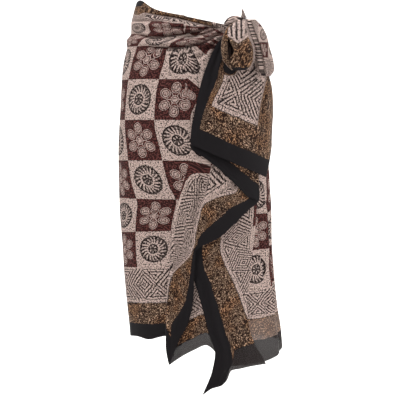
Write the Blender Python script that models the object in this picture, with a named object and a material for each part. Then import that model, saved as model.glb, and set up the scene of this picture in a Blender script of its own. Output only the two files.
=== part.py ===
"""Hollow worn sarong: one printed cloth wound round once and tied in a bow at the wearer's left hip.

Metres, +Z up, front towards -Y, wearer's left towards +X. The origin is the middle of the waist.
"""
import bmesh
import bpy
import math
import numpy as np

MM = 0.001
WALL = 1.4 * MM

# Front sizes were read from one viewpoint, so what lies nearer to it is scaled back by its nearness.
VIEW_DISTANCE = 3.0
VIEW_HEIGHT = -0.336

# Rounder than a box, a little squarer than an ellipse.
RING_POWER = 2.2

# The body of the cloth, in mm: height below the waist, both sides, depth in front and behind.
OUTLINE_COLUMNS = ("down", "left", "right", "front", "back")
OUTLINE = (
    (-60, -150, 140, 106, 104),
    (0, -160, 153, 112, 108),
    (34, -169, 158, 117, 114),
    (91, -182, 165, 124, 124),
    (147, -189, 171, 128, 132),
    (201, -192, 172, 130, 137),
    (326, -198, 166, 132, 138),
    (394, -197, 169, 132, 136),
    (468, -195, 173, 132, 134),
    (544, -189, 174, 132, 134),
    (625, -184, 179, 133, 136),
    (701, -177, 188, 136, 139),
    (747, -172, 196, 138, 141),
    (791, -169, 200, 140, 143),
    (900, -166, 206, 142, 146),
)

# One row of the main winding from the waist down, in mm as read from the front.
# side and right are its heights at the wearer's right and left, start at its hidden beginning.
# foot, crest and edge follow it across the front to the free edge; out is how far each stands off.
WRAP_COLUMNS = ("side", "foot_x", "foot", "crest", "edge_x", "edge", "right", "start",
                "foot_out", "crest_out", "edge_out", "roll")
WRAP = (
    (-37, -38, -10, -7, 60, 12, 32, 34, 8, 9, 13, 0.0),
    (-20, -38, 2, 4, 62, 21, 39, 44, 9, 10, 13, 3.0),
    (4, -38, 16, 18, 65, 29, 49, 54, 9, 10, 13, 4.5),
    (36, -38, 38, 37, 67, 38, 61, 66, 8, 9, 13, -3.0),
    (52, -38, 54, 52, 72, 49, 73, 78, 9, 10, 11, 4.0),
    (74, -38, 71, 69, 80, 66, 91, 96, 9, 10, 11, -2.0),
    (113, -38, 108, 105, 99, 98, 122, 127, 9, 10, 12, 0.5),
    (171, -35, 169, 167, 126, 154, 176, 181, 9, 10, 12, 0.0),
    (250, -31, 250, 250, 136, 255, 252, 257, 9, 10, 12, 0.0),
    (326, -23, 326, 327, 142, 362, 328, 333, 9, 12, 12, 0.0),
    (394, -39, 399, 401, 147, 436, 399, 407, 7, 14, 12, 0.0),
    (453, -58, 458, 461, 116, 469, 461, 470, 6, 15, 13, 0.0),
    (519, -69, 517, 520, 48, 534, 527, 539, 5, 15, 15, 0.0),
    (576, -71, 573, 577, -9, 568, 586, 603, 4, 14, 14, 0.0),
    (625, -75, 627, 631, -13, 625, 637, 659, 4, 13, 13, 0.0),
    (686, -80, 688, 694, -15, 681, 698, 728, 3, 12, 12, 0.0),
    (730, -82, 735, 750, -27, 742, 742, 779, 3, 11, 11, 0.0),
    (755, -83, 757, 799, -49, 784, 769, 813, 3, 11, 10, 0.0),
    (773, -83, 775, 845, -76, 852, 791, 850, 3, 10, 10, 0.0),
)
START_X = 70

# The upper edge rises above the wearer's right front: height in mm, place, width, rows it spans.
TOP_EDGE_RISE = 16
TOP_EDGE_PLACE = 0.36
TOP_EDGE_WIDTH = 0.24
TOP_EDGE_ROWS = 1.6

# How far the crest of the long fold stands beyond its foot, in mm, and how late the hem lifts.
CREST_STEP = 7
SIDE_DROP = 2.5

# The hollow between the long fold and the free edge: depth in mm, rows it spans, part of the width.
VALLEY_DEPTH = 4.0
VALLEY_ROWS = (8.5, 10.5, 13.0, 16.0)
VALLEY_WIDTH = 0.6

# Soft upright folds round the sides and the back: turn in degrees, width, rise in mm, top in mm.
FOLD_COLUMNS = ("turn", "width", "rise", "top", "lean")
FOLDS = (
    (62, 5, 3.0, 250, 3),
    (76, 4, 3.5, 180, 5),
    (97, 5, 4.0, 120, 4),
    (113, 6, 4.5, 60, -2),
    (134, 5, 4.0, 200, -4),
    (152, 7, 6.0, 90, 2),
    (171, 5, 4.0, 260, 4),
    (188, 7, 6.5, 110, -3),
    (209, 5, 4.5, 220, -2),
    (226, 6, 5.0, 80, 5),
    (246, 5, 4.0, 240, 3),
    (262, 5, 3.0, 300, -3),
    (286, 6, 2.5, 420, 4),
)

# How far down a fold takes to reach its full rise, and over what height it leans, in mm.
FOLD_GROWTH = 350
FOLD_LEAN_HEIGHT = 500

# How much of each waist roll is left at the wearer's left side and at the right side of the back.
ROLL_AT_LEFT = 0.4
ROLL_AT_RIGHT = 0.9

# The end that hangs under the front panel: free edge on the left, turned-under fold on the right.
STRIP_COLUMNS = ("left_x", "left", "right_x", "right", "left_out", "mid_out", "right_out")
UNDER_END = (
    (36, 49, 107, 73, 5, 6, 2.2),
    (20, 122, 129, 135, 5, 6, 2.2),
    (1, 220, 138, 233, 5, 6, 2.2),
    (-9, 318, 141, 331, 5, 6, 2.2),
    (-13, 416, 141, 421, 5, 6, 2.2),
    (-18, 502, 137, 510, 5, 6, 2.4),
    (-22, 563, 132, 551, 5, 7, 2.6),
    (-23, 608, 127, 593, 5, 8, 3.0),
    (-9, 652, 124, 632, 5, 9, 3.4),
    (10, 719, 116, 686, 6, 9, 4.0),
    (25, 777, 120, 740, 7, 9, 4.0),
    (38, 818, 134, 792, 8, 10, 3.4),
    (31, 862, 156, 828, 9, 10, 2.6),
    (7, 923, 164, 845, 10, 10, 2.2),
)
# Its lower edge, as part of the way from the free edge to the fold, and height in mm.
UNDER_HEM = ((0.0, 923), (0.16, 906), (0.29, 900), (0.385, 886), (0.455, 862), (0.6, 857), (0.77, 851),
             (1.0, 845))

INNER_LAP = (
    (-66, 529, 36, 539, -1.0, 1.0, 4.4),
    (-71, 612, 36, 617, -1.0, 1.0, 4.4),
    (-75, 686, 38, 698, -1.0, 1.0, 4.4),
    (-77, 760, 45, 772, -0.5, 1.5, 4.0),
    (-76, 810, 50, 804, 0.0, 2.0, 4.0),
    (-73, 847, 50, 838, 1.0, 2.0, 4.0),
)
INNER_HEM = ((0.0, 847), (0.25, 826), (0.5, 810), (0.72, 799), (0.85, 808), (1.0, 836))

FRONT_FLAP = (
    (50, 104, 114, 128, 15.5, 15.5, 14.6),
    (30, 147, 125, 154, 16.5, 16.5, 14.6),
    (10, 216, 134, 233, 17, 17, 14.6),
    (-8, 277, 139, 294, 17.5, 17.5, 14.6),
    (-21, 313, 142, 343, 18, 18, 14.6),
    (4, 332, 144, 372, 18, 18, 14.6),
    (40, 359, 146, 402, 17.5, 17.5, 14.6),
    (82, 397, 147, 424, 17.5, 17.5, 14.7),
    (119, 435, 147, 442, 17.5, 17, 15.2),
)

TAIL = (
    (78, 17, 107, 22, 15.85, 15.85, 12),
    (71, 32, 118, 42, 16.5, 17, 14),
    (45, 56, 132, 80, 22, 24, 17),
    (14, 122, 165, 127, 24, 26, 13),
    (4, 154, 177, 167, 24, 26.5, 10),
    (-6, 196, 180, 206, 25, 27, 9),
    (-15, 240, 180, 250, 25, 27, 9),
    (-21, 275, 178, 295, 25, 27, 10),
    (-22, 300, 171, 350, 25, 27, 15),
    (-19, 306, 163, 385, 25, 27, 19),
)

# Creases of a stretch: part of the way across, width, depth in mm, first and last row.
CREASE_COLUMNS = ("part", "width", "deep", "first", "last")
TAIL_CREASES = (
    (0.13, 0.035, 3.0, 1.5, 8.0),
    (0.30, 0.05, 1.5, 2.0, 6.0),
    (0.52, 0.06, 2.0, 3.0, 9.5),
    (0.86, 0.03, 3.5, 2.0, 6.5),
)
UNDER_CREASES = (
    (0.22, 0.05, -2.0, 7.0, 14.0),
    (0.45, 0.06, 1.5, 8.0, 14.0),
    (0.68, 0.05, -2.0, 9.0, 14.0),
)

# Rolled stretches of the bow: where the middle runs, its half width and its half depth, in mm.
ROLL_COLUMNS = ("x", "down", "half", "out", "deep", "open")
LOOP_LEFT = (
    (102, 2, 12, 45.6, 6, -10),
    (90, 24, 30, 55, 11, -8),
    (89, 50, 40, 52, 22, 14),
    (91, 76, 45, 53, 23, 30),
    (93, 96, 43, 51, 21, 12),
    (96, 114, 32, 47, 14, -6),
    (97, 124, 20, 44, 8, -8),
)
LOOP_RIGHT = (
    (129, 0, 8, 42.6, 6, -8),
    (139, 16, 13, 42.6, 10, -8),
    (146, 38, 17, 45, 14, -8),
    (154, 68, 18, 44, 15, -8),
    (161, 98, 20, 42, 14, -8),
    (164, 122, 19, 38, 11, -8),
    (164, 138, 10, 35, 6, -8),
)
LIP_STEP = 0.16
LOOP_PLEATS = 7
LOOP_PLEAT = 1.3
LIP_LEFT = 128
LIP_BACK = 250

KNOT_COLUMNS = ("x", "down", "half", "out", "deep")
KNOT = (
    (60, 15, 7, 21, 6),
    (70, 12, 17, 27, 10),
    (86, 9, 20, 27, 12),
    (102, 12, 18, 27, 12),
    (118, 14, 15, 27, 10),
    (128, 16, 8, 27, 7),
)
KNOT_LIP = 255
KNOT_PLEATS = 7
KNOT_PLEAT = 1.2

TIP_COLUMNS = ("x", "down", "half", "out")
TIP = (
    (109, -3.5, 11, 38.6),
    (107, -10, 8, 39.5),
    (105, -17, 4.5, 39),
    (104, -23, 1.6, 38),
)
TIP_BEND = 3.0

CLOTH_COLOUR = (0.16, 0.12, 0.10, 1.0)
PALE_COLOUR = (0.42, 0.36, 0.32, 1.0)
GOLD_COLOUR = (0.24, 0.15, 0.08, 1.0)
CLOTH_ROUGHNESS = 0.85

# How finely the winding is built: rows of its table for each built row, and columns of each part.
ROW_STEP = 0.75
SIDE_COLUMNS = 8
BACK_COLUMNS = 30
FRONT_COLUMNS = 11
PANEL_COLUMNS = 12

# Rows and columns of the other stretches.
UNDER_GRID = (22, 16)
INNER_GRID = (10, 12)
FLAP_GRID = (14, 10)
TAIL_GRID = (15, 22)
LEFT_GRID = (14, 24)
RIGHT_GRID = (13, 20)
KNOT_GRID = (12, 28)
TIP_GRID = (6, 7)


def smooth(at, knots, values):
    """Values at the given places on a curve through a table, without overshoot."""
    knots = np.asarray(knots, float)
    values = np.asarray(values, float)
    step = np.diff(knots)
    slope = np.diff(values) / step
    tangent = np.zeros(len(knots))
    tangent[0] = slope[0]
    tangent[-1] = slope[-1]
    for i in range(1, len(knots) - 1):
        if slope[i - 1] * slope[i] > 0:
            before = 2 * step[i] + step[i - 1]
            after = step[i] + 2 * step[i - 1]
            tangent[i] = (before + after) / (before / slope[i - 1] + after / slope[i])
    at = np.clip(np.asarray(at, float), knots[0], knots[-1])
    i = np.clip(np.searchsorted(knots, at, side="right") - 1, 0, len(step) - 1)
    t = (at - knots[i]) / step[i]
    start = values[i] * (1 + 2 * t) * (1 - t) ** 2 + values[i + 1] * t * t * (3 - 2 * t)
    bend = tangent[i] * t * (1 - t) ** 2 - tangent[i + 1] * t * t * (1 - t)
    return start + step[i] * bend


def column(table, names, name, rows):
    """One named column of a table, read at fractional rows."""
    place = names.index(name)
    return smooth(rows, range(len(table)), [line[place] for line in table])


def ease(value):
    """Soft step from 0 to 1."""
    value = np.clip(value, 0.0, 1.0)
    return value * value * (3 - 2 * value)


def outline(fall):
    """Sides and depths of the body of the cloth at a height below the waist."""
    heights = [line[0] * MM for line in OUTLINE]
    sizes = []
    for name in OUTLINE_COLUMNS[1:]:
        place = OUTLINE_COLUMNS.index(name)
        sizes.append(smooth(fall, heights, [line[place] * MM for line in OUTLINE]))
    return sizes


def power(value, exponent):
    """Signed power."""
    return np.sign(value) * np.abs(value) ** exponent


def turn_at(across, down, out):
    """Turn round the body, and true height, of what is seen from the front at a place."""
    depth = np.full(np.shape(across), 0.1)
    for _ in range(8):
        near = 1 - depth / VIEW_DISTANCE
        fall = (down + VIEW_HEIGHT) * near - VIEW_HEIGHT
        left, right, front, _back = outline(fall)
        half = (right - left) / 2 + out
        side = np.clip((across * near - (left + right) / 2) / half, -1, 1)
        turn = np.arcsin(power(side, RING_POWER / 2))
        depth = (front + out) * np.cos(turn) ** (2 / RING_POWER)
    return turn, fall


def ring(turn, fall, out):
    """Points round the body. Turn 0 is the front and a quarter turn the wearer's left side."""
    left, right, front, back = outline(fall)
    sine = np.sin(turn)
    cosine = np.cos(turn)
    deep = np.where(cosine > 0, front, back)
    wide = (right - left) / 2
    x = (left + right) / 2 + (wide + out) * power(sine, 2 / RING_POWER)
    y = -(deep + out) * power(cosine, 2 / RING_POWER)
    return np.stack([x, y, -fall], axis=-1)


def seen(across, down, out):
    """Points from sizes read at the front, in mm."""
    turn, fall = turn_at(across * MM, down * MM, out * MM)
    return ring(turn, fall, out * MM)


def normals(points):
    """Unit normals of a grid of points."""
    along = np.gradient(points, axis=0)
    across = np.gradient(points, axis=1)
    normal = np.cross(across, along)
    return normal / np.linalg.norm(normal, axis=-1, keepdims=True)


def wall(name, points, colour, thickness=WALL):
    """A closed wall of even thickness about a grid of points."""
    rows, columns = points.shape[:2]
    offset = normals(points) * thickness / 2
    front = (points + offset).reshape(-1, 3)
    back = (points - offset).reshape(-1, 3)
    count = rows * columns
    place = np.arange(count).reshape(rows, columns)
    faces = []
    for i in range(rows - 1):
        for j in range(columns - 1):
            a, b = place[i, j], place[i, j + 1]
            c, d = place[i + 1, j + 1], place[i + 1, j]
            faces.append((a, b, c))
            faces.append((a, c, d))
            faces.append((a + count, c + count, b + count))
            faces.append((a + count, d + count, c + count))
    border = list(place[0, :]) + list(place[1:, -1])
    border += list(place[-1, -2::-1]) + list(place[-2:0:-1, 0])
    for a, b in zip(border, border[1:] + border[:1]):
        faces.append((a, a + count, b + count))
        faces.append((a, b + count, b))
    mesh = bpy.data.meshes.new(name)
    mesh.from_pydata(np.vstack([front, back]).tolist(), [], [tuple(map(int, f)) for f in faces])
    mesh.update()
    body = bmesh.new()
    body.from_mesh(mesh)
    bmesh.ops.recalc_face_normals(body, faces=body.faces)
    body.to_mesh(mesh)
    body.free()
    thing = bpy.data.objects.new(name, mesh)
    bpy.context.scene.collection.objects.link(thing)
    material = bpy.data.materials.new(name + "_cloth")
    material.use_nodes = True
    surface = material.node_tree.nodes["Principled BSDF"]
    surface.inputs["Base Color"].default_value = colour
    surface.inputs["Roughness"].default_value = CLOTH_ROUGHNESS
    surface.inputs["Metallic"].default_value = 0.0
    mesh.materials.append(material)
    return thing


def fold_relief(turn, fall):
    """How far the upright folds stand out, in mm."""
    degrees = np.degrees(turn) % 360
    total = np.zeros(np.shape(turn))
    for centre, width, rise, top, lean in FOLDS:
        depth = fall / MM
        grown = ease((depth - top) / FOLD_GROWTH)
        place = centre + lean * (depth - top) / FOLD_LEAN_HEIGHT
        total = total + rise * grown * np.exp(-((degrees - place) / width) ** 2)
    return total


def wrap_points():
    """The main winding, from its hidden start round to the free edge of the front panel."""
    rows = np.arange(0, len(WRAP) - 1 + ROW_STEP / 2, ROW_STEP)
    line = {name: column(WRAP, WRAP_COLUMNS, name, rows)[:, None] for name in WRAP_COLUMNS}
    roll = line["roll"]

    # Left front, seen past the hanging end, from the hidden start to the wearer's left side.
    part = np.linspace(0, 1, SIDE_COLUMNS, endpoint=False)[None, :]
    zero = np.zeros((len(rows), 1))
    begin, begin_fall = turn_at(zero + START_X * MM, line["start"] * MM, zero)
    turn = begin + (math.pi / 2 - begin) * part
    fall = begin_fall + (line["right"] * MM - begin_fall) * part ** SIDE_DROP
    side = ring(turn, fall, (fold_relief(turn, fall) + roll * ROLL_AT_LEFT * part) * MM)

    # Round the back, from the wearer's left side to the right side.
    part = np.linspace(0, 1, BACK_COLUMNS, endpoint=False)[None, :]
    turn = math.pi / 2 + math.pi * part + zero
    fall = (line["right"] + (line["side"] - line["right"]) * ease(part)) * MM
    kept = ROLL_AT_LEFT + (ROLL_AT_RIGHT - ROLL_AT_LEFT) * part
    back = ring(turn, fall, (fold_relief(turn, fall) + roll * kept) * MM)

    # From the wearer's right side to the foot of the long fold on the front panel.
    part = np.linspace(0, 1, FRONT_COLUMNS)[None, :]
    foot, foot_fall = turn_at(line["foot_x"] * MM, line["foot"] * MM, line["foot_out"] * MM)
    turn = -math.pi / 2 + (foot + math.pi / 2) * part
    fall = line["side"] * MM + (foot_fall - line["side"] * MM) * part
    near_top = ease(1 - rows / TOP_EDGE_ROWS)[:, None]
    rise = TOP_EDGE_RISE * np.exp(-((part - TOP_EDGE_PLACE) / TOP_EDGE_WIDTH) ** 2)
    fall = fall - rise * near_top * MM
    out = line["foot_out"] * ease(part) + roll * (ROLL_AT_RIGHT + (1 - ROLL_AT_RIGHT) * part)
    front = ring(turn, fall, (out + fold_relief(turn, fall) * (1 - part)) * MM)

    # From the crest of the long fold to the free edge.
    part = np.linspace(0, 1, PANEL_COLUMNS)[None, :]
    crest_x = line["foot_x"] + CREST_STEP
    across = crest_x + (line["edge_x"] - crest_x) * part
    down = line["crest"] + (line["edge"] - line["crest"]) * part
    valley = np.interp(rows, VALLEY_ROWS, (0, 1, 1, 0))[:, None] * VALLEY_DEPTH
    out = line["crest_out"] + (line["edge_out"] - line["crest_out"]) * part
    out = out - valley * np.sin(math.pi * np.clip(part / VALLEY_WIDTH, 0, 1)) + roll * (1 - part)
    panel = seen(across, down, out)
    return np.concatenate([side, back, front, panel], axis=1)


def crease_relief(creases, place, part):
    """How far the creases of a stretch lie below its smooth shape, in mm."""
    total = np.zeros(np.broadcast(place, part).shape)
    for centre, width, deep, first, last in creases:
        reach = ease((place - first) / 1.5) * ease((last - place) / 1.5)
        total = total + deep * reach * np.exp(-((part - centre) / width) ** 2)
    return total


def strip_points(table, grid, hem=None, creases=()):
    """A stretch between a left and a right edge, with an uneven lower edge if one is given."""
    rows, columns = grid
    place = np.linspace(0, len(table) - 1, rows)
    line = {name: column(table, STRIP_COLUMNS, name, place)[:, None] for name in STRIP_COLUMNS}
    part = np.linspace(0, 1, columns)[None, :]
    across = line["left_x"] + (line["right_x"] - line["left_x"]) * part
    down = line["left"] + (line["right"] - line["left"]) * part
    if hem:
        wanted = smooth(part, [h[0] for h in hem], [h[1] for h in hem])
        straight = table[-1][1] + (table[-1][3] - table[-1][1]) * part
        reach = ease((place[:, None] - (len(table) - 5)) / 4)
        down = down + (wanted - straight) * reach
    out = np.zeros((rows, columns))
    for i in range(rows):
        outs = [line["left_out"][i, 0], line["mid_out"][i, 0], line["right_out"][i, 0]]
        out[i] = smooth(part[0], (0.0, 0.55, 1.0), outs)
    out = out - crease_relief(creases, place[:, None], part)
    return seen(across, down, out)


def loop_points(table, lip, grid):
    """A rolled loop of the bow: a sheet turned nearly once round, one lip inside the other."""
    rows, columns = grid
    place = np.linspace(0, len(table) - 1, rows)
    line = {name: column(table, ROLL_COLUMNS, name, place)[:, None] for name in ROLL_COLUMNS}
    part = np.linspace(0, 1, columns)[None, :]
    angle = np.radians(lip + (360 - line["open"]) * part)
    size = 1 - LIP_STEP * (1 - part)
    pleat = LOOP_PLEAT * np.cos(LOOP_PLEATS * angle) * ease(line["deep"] / 12)
    across = line["x"] + (line["half"] * size + pleat) * np.cos(angle)
    out = line["out"] + (line["deep"] * size + pleat) * np.sin(angle)
    return seen(across, line["down"] + 0 * part, out)


def knot_points():
    """The gathered roll that holds the bow, lying level across the front."""
    rows, columns = KNOT_GRID
    place = np.linspace(0, len(KNOT) - 1, rows)
    line = {name: column(KNOT, KNOT_COLUMNS, name, place)[:, None] for name in KNOT_COLUMNS}
    part = np.linspace(0, 1, columns)[None, :]
    angle = np.radians(KNOT_LIP + 360 * part)
    size = 1 - LIP_STEP * (1 - part)
    pleat = KNOT_PLEAT * np.sin(KNOT_PLEATS * angle)
    down = line["down"] - (line["half"] * size + pleat) * np.cos(angle - math.pi / 2)
    out = line["out"] + (line["deep"] * size + pleat) * np.sin(angle - math.pi / 2)
    return seen(line["x"] + 0 * part, down, out)


def tip_points():
    """The small upright corner above the knot."""
    rows, columns = TIP_GRID
    place = np.linspace(0, len(TIP) - 1, rows)
    line = {name: column(TIP, TIP_COLUMNS, name, place)[:, None] for name in TIP_COLUMNS}
    part = np.linspace(-1, 1, columns)[None, :]
    across = line["x"] + line["half"] * part
    out = line["out"] - TIP_BEND * part * part
    return seen(across, line["down"] + 0 * part, out)


def main():
    for thing in list(bpy.data.objects):
        bpy.data.objects.remove(thing, do_unlink=True)
    wall("wrap", wrap_points(), CLOTH_COLOUR)
    wall("under_end", strip_points(UNDER_END, UNDER_GRID, UNDER_HEM, UNDER_CREASES), CLOTH_COLOUR)
    wall("inner_lap", strip_points(INNER_LAP, INNER_GRID, INNER_HEM), GOLD_COLOUR)
    wall("front_flap", strip_points(FRONT_FLAP, FLAP_GRID), CLOTH_COLOUR)
    wall("tail", strip_points(TAIL, TAIL_GRID, None, TAIL_CREASES), PALE_COLOUR)
    wall("bow_loop_left", loop_points(LOOP_LEFT, LIP_LEFT, LEFT_GRID), GOLD_COLOUR)
    wall("bow_loop_right", loop_points(LOOP_RIGHT, LIP_BACK, RIGHT_GRID), PALE_COLOUR)
    wall("knot", knot_points(), PALE_COLOUR)
    wall("knot_tip", tip_points(), PALE_COLOUR)


main()
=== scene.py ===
"""Hollow worn sarong: printed cotton voile wound round once and tied in a bow at the left hip.

Metres, +Z up, front towards -Y, wearer's left towards +X. The origin is the middle of the waist.
"""
import bpy
import math
import numpy as np
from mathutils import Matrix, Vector


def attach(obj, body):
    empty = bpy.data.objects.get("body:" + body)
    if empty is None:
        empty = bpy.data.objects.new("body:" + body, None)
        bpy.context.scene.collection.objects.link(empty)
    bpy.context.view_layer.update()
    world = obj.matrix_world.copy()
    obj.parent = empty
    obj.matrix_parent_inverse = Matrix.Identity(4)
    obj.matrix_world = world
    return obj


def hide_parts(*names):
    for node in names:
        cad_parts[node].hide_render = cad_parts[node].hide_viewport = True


bl_info = {
    "name": "Worn Sarong",
    "version": (1, 0, 0),
    "blender": (4, 5, 0),
    "location": "View3D > Sidebar > Sarong",
    "description": "A printed voile sarong in its worn, hollow shape, with a plain studio",
    "category": "Add Mesh",
}

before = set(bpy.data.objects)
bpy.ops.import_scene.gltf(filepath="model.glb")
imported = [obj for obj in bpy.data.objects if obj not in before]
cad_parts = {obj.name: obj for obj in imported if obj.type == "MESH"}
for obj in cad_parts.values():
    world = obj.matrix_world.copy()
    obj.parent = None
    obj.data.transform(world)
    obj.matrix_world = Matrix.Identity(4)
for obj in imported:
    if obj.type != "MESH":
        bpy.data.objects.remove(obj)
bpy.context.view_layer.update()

MM = 0.001
# How far in front of the origin the camera stands, and how high, in metres.
VIEW_DISTANCE = 3.0
VIEW_HEIGHT = -0.336
# The body's cross-section is a superellipse of this power. Finding the turn at a seen place takes
# a few rounds, from a first guess at its depth in metres.
RING_POWER = 2.2
TURN_ROUNDS = 8
FIRST_DEPTH = 0.1

# The whole cut cloth, its border bands measured in from an edge, and one cell of the print, in mm.
CUT_LENGTH = 1698
CUT_WIDTH = 1068
BLACK_BAND = 34
GOLD_BAND = 84
WHITE_BAND = 174
CELL = 90

# The lines of the white band, in mm: where a cross stands in its repeat and where the first repeat
# starts, the middle of the band, how far the lines reach from it, their lean with the sine that
# turns it into a distance square to them, and the step from one line to the next.
CROSS_AT = 58
BAND_START = CROSS_AT - WHITE_BAND - CELL / 2
BAND_MIDDLE = 131
BAND_HALF = 38
CROSS_LEAN = 0.86
CROSS_SINE = 0.758
LINE_STEP = 6.9

# The body of the cloth, in mm: height below the waist, both sides, depth in front and behind.
OUTLINE_COLUMNS = ("down", "left", "right", "front", "back")
OUTLINE = (
    (-60, -150, 140, 106, 104),
    (0, -160, 153, 112, 108),
    (34, -169, 158, 117, 114),
    (91, -182, 165, 124, 124),
    (147, -189, 171, 128, 132),
    (201, -192, 172, 130, 137),
    (326, -198, 166, 132, 138),
    (394, -197, 169, 132, 136),
    (468, -195, 173, 132, 134),
    (544, -189, 174, 132, 134),
    (625, -184, 179, 133, 136),
    (701, -177, 188, 136, 139),
    (747, -172, 196, 138, 141),
    (791, -169, 200, 140, 143),
    (900, -166, 206, 142, 146),
)

# One row of the main winding from the waist down, in mm as read from the front.
# side and right are its heights at the wearer's right and left, start at its hidden beginning.
# foot, crest and edge follow it across the front to the free edge, out is how far each stands off,
# and roll is how far a gather of the waist stands out.
WRAP_COLUMNS = ("side", "foot_x", "foot", "crest", "edge_x", "edge", "right", "start",
                "foot_out", "crest_out", "edge_out", "roll")
WRAP = (
    (-37, -38, -10, -7, 60, 12, 32, 34, 8, 9, 13, 0.0),
    (-20, -38, 2, 4, 62, 21, 39, 44, 9, 10, 13, 3.0),
    (4, -38, 16, 18, 65, 29, 49, 54, 9, 10, 13, 4.5),
    (36, -38, 38, 37, 67, 38, 61, 66, 8, 9, 13, -3.0),
    (52, -38, 54, 52, 72, 49, 73, 78, 9, 10, 11, 4.0),
    (74, -38, 71, 69, 80, 66, 91, 96, 9, 10, 11, -2.0),
    (113, -38, 108, 105, 99, 98, 122, 127, 9, 10, 12, 0.5),
    (171, -35, 169, 167, 126, 154, 176, 181, 9, 10, 12, 0.0),
    (250, -31, 250, 250, 136, 255, 252, 257, 9, 10, 12, 0.0),
    (326, -23, 326, 327, 142, 362, 328, 333, 9, 12, 12, 0.0),
    (394, -39, 399, 401, 147, 436, 399, 407, 7, 14, 12, 0.0),
    (453, -58, 458, 461, 116, 469, 461, 470, 6, 15, 13, 0.0),
    (519, -69, 517, 520, 48, 534, 527, 539, 5, 15, 15, 0.0),
    (576, -71, 573, 577, -9, 568, 586, 603, 4, 14, 14, 0.0),
    (625, -75, 627, 631, -13, 625, 637, 659, 4, 13, 13, 0.0),
    (686, -80, 688, 694, -15, 681, 698, 728, 3, 12, 12, 0.0),
    (730, -82, 735, 750, -27, 742, 742, 779, 3, 11, 11, 0.0),
    (755, -83, 757, 799, -49, 784, 769, 813, 3, 11, 10, 0.0),
    (773, -83, 775, 845, -76, 852, 791, 850, 3, 10, 10, 0.0),
)

# The winding's hidden beginning, how its rows drop from there to the side, and how much of a
# gather's roll is left at the wearer's left and right sides.
START_X = 70
SIDE_DROP = 2.5
ROLL_AT_LEFT = 0.4
ROLL_AT_RIGHT = 0.9
# Its top edge rises and its hem sags between the right side and the long fold: by how much in mm,
# where and how widely as parts of the way, and over how many rows.
TOP_EDGE_RISE = 16
TOP_EDGE_PLACE = 0.36
TOP_EDGE_WIDTH = 0.24
TOP_EDGE_ROWS = 1.6
HEM_SAG = 8
HEM_SAG_PLACE = 0.74
HEM_SAG_WIDTH = 0.17
HEM_SAG_ROWS = 2.5
# The long fold on the front: from foot to crest in mm, the valley beside it, and where it starts to
# roll over its foot, over how many rows, and how far to the side and forwards.
CREST_STEP = 7
VALLEY_DEPTH = 4.0
VALLEY_ROWS = (8.5, 10.5, 13.0, 16.0)
VALLEY_WIDTH = 0.6
FOLD_STARTS = 7.5
FOLD_GROWS = 2
FOLD_ROLL = (3.0, 1.5)

# Where the print lies on the winding, by row: height on the cloth at the sides and at the free
# edge, distance from the free edge at the foot of the long fold, then that distance across the
# front panel: at the crest, at two places part of the way over, and at the edge.
PRINT_COLUMNS = ("v", "v_edge", "foot_u", "crest_u", "place_1", "u_1", "place_2", "u_2", "edge_u")
WRAP_PRINT = (
    (1058, 1020, 266, 345, 0.35, 318, 0.7, 292, 268),
    (1010, 985, 266, 345, 0.35, 318, 0.7, 292, 268),
    (905, 930, 266, 345, 0.35, 318, 0.7, 292, 268),
    (806, 880, 266, 340, 0.35, 312, 0.7, 286, 262),
    (760, 840, 245, 235, 0.35, 220, 0.7, 210, 200),
    (705, 800, 224, 214, 0.35, 182, 0.7, 176, 170),
    (660, 760, 217, 206, 0.30, 180, 0.7, 135, 110),
    (603, 730, 199, 205, 0.22, 185, 0.6, 150, 60),
    (530, 700, 190, 176, 0.28, 124, 0.61, 86, 0),
    (461, 430, 200, 190, 0.14, 225, 0.30, 225, 0),
    (393, 535, 230, 172, 0.30, 120, 0.67, 84, 0),
    (335, 490, 266, 170, 0.34, 84, 0.715, 34, 0),
    (264, 380, 268, 170, 0.486, 84, 0.575, 34, 0),
    (205, 310, 270, 150, 0.857, 84, 0.875, 34, 0),
    (152, 250, 280, 84.5, 0.01, 84, 0.813, 34, 0),
    (90, 190, 290, 80, 0.30, 62, 0.69, 34, 0),
    (44, 118, 290, 58, 0.11, 34, 0.50, 18, 0),
    (18, 75, 290, 32, 0.30, 22, 0.70, 10, 0),
    (0, 0, 290, 16, 0.30, 11, 0.70, 5, 0),
)
# Distance along the cloth at the hidden beginning.
START_U = 1074

# The flat facet of the panel beside the long trough: its corners as read from the front, the lean
# and the scale of its print, and where the print is at its lower corner, in mm.
FACET_TOP = (30.6, 352.8)
FACET_LOW = (8.6, 448.4)
FACET_RIGHT = (77.2, 401.8)
FACET_LEAN = 0.695
FACET_SCALE = 0.78
FACET_PLACE = (85, 411)

# The hem shows as a single layer from this distance along the cloth.
SINGLE_FROM = 900
# At the wearer's left, beside the hanging corner, the print is shifted: below which turn in degrees
# and over how many, how far along and up the cloth, and above which place down it is shifted up.
SIDE_SHIFT_FROM = 100
SIDE_SHIFT_RUN = 30
SIDE_SHIFT_U = 22
SIDE_SHIFT_V = 26
SIDE_SHIFT_LOW = 740
SIDE_SHIFT_FADE = 90
# Cloth turned in at the top of the front, in mm, from which turn, over how many degrees and rows.
TOP_TURNED_IN = 75
TOP_TURNED_FROM = 298
TOP_TURNED_RUN = 20
TOP_TURNED_ROWS = 3.0
# Cloth that goes over the edge of the long fold, in mm.
FOLD_HIDES = 10

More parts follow.
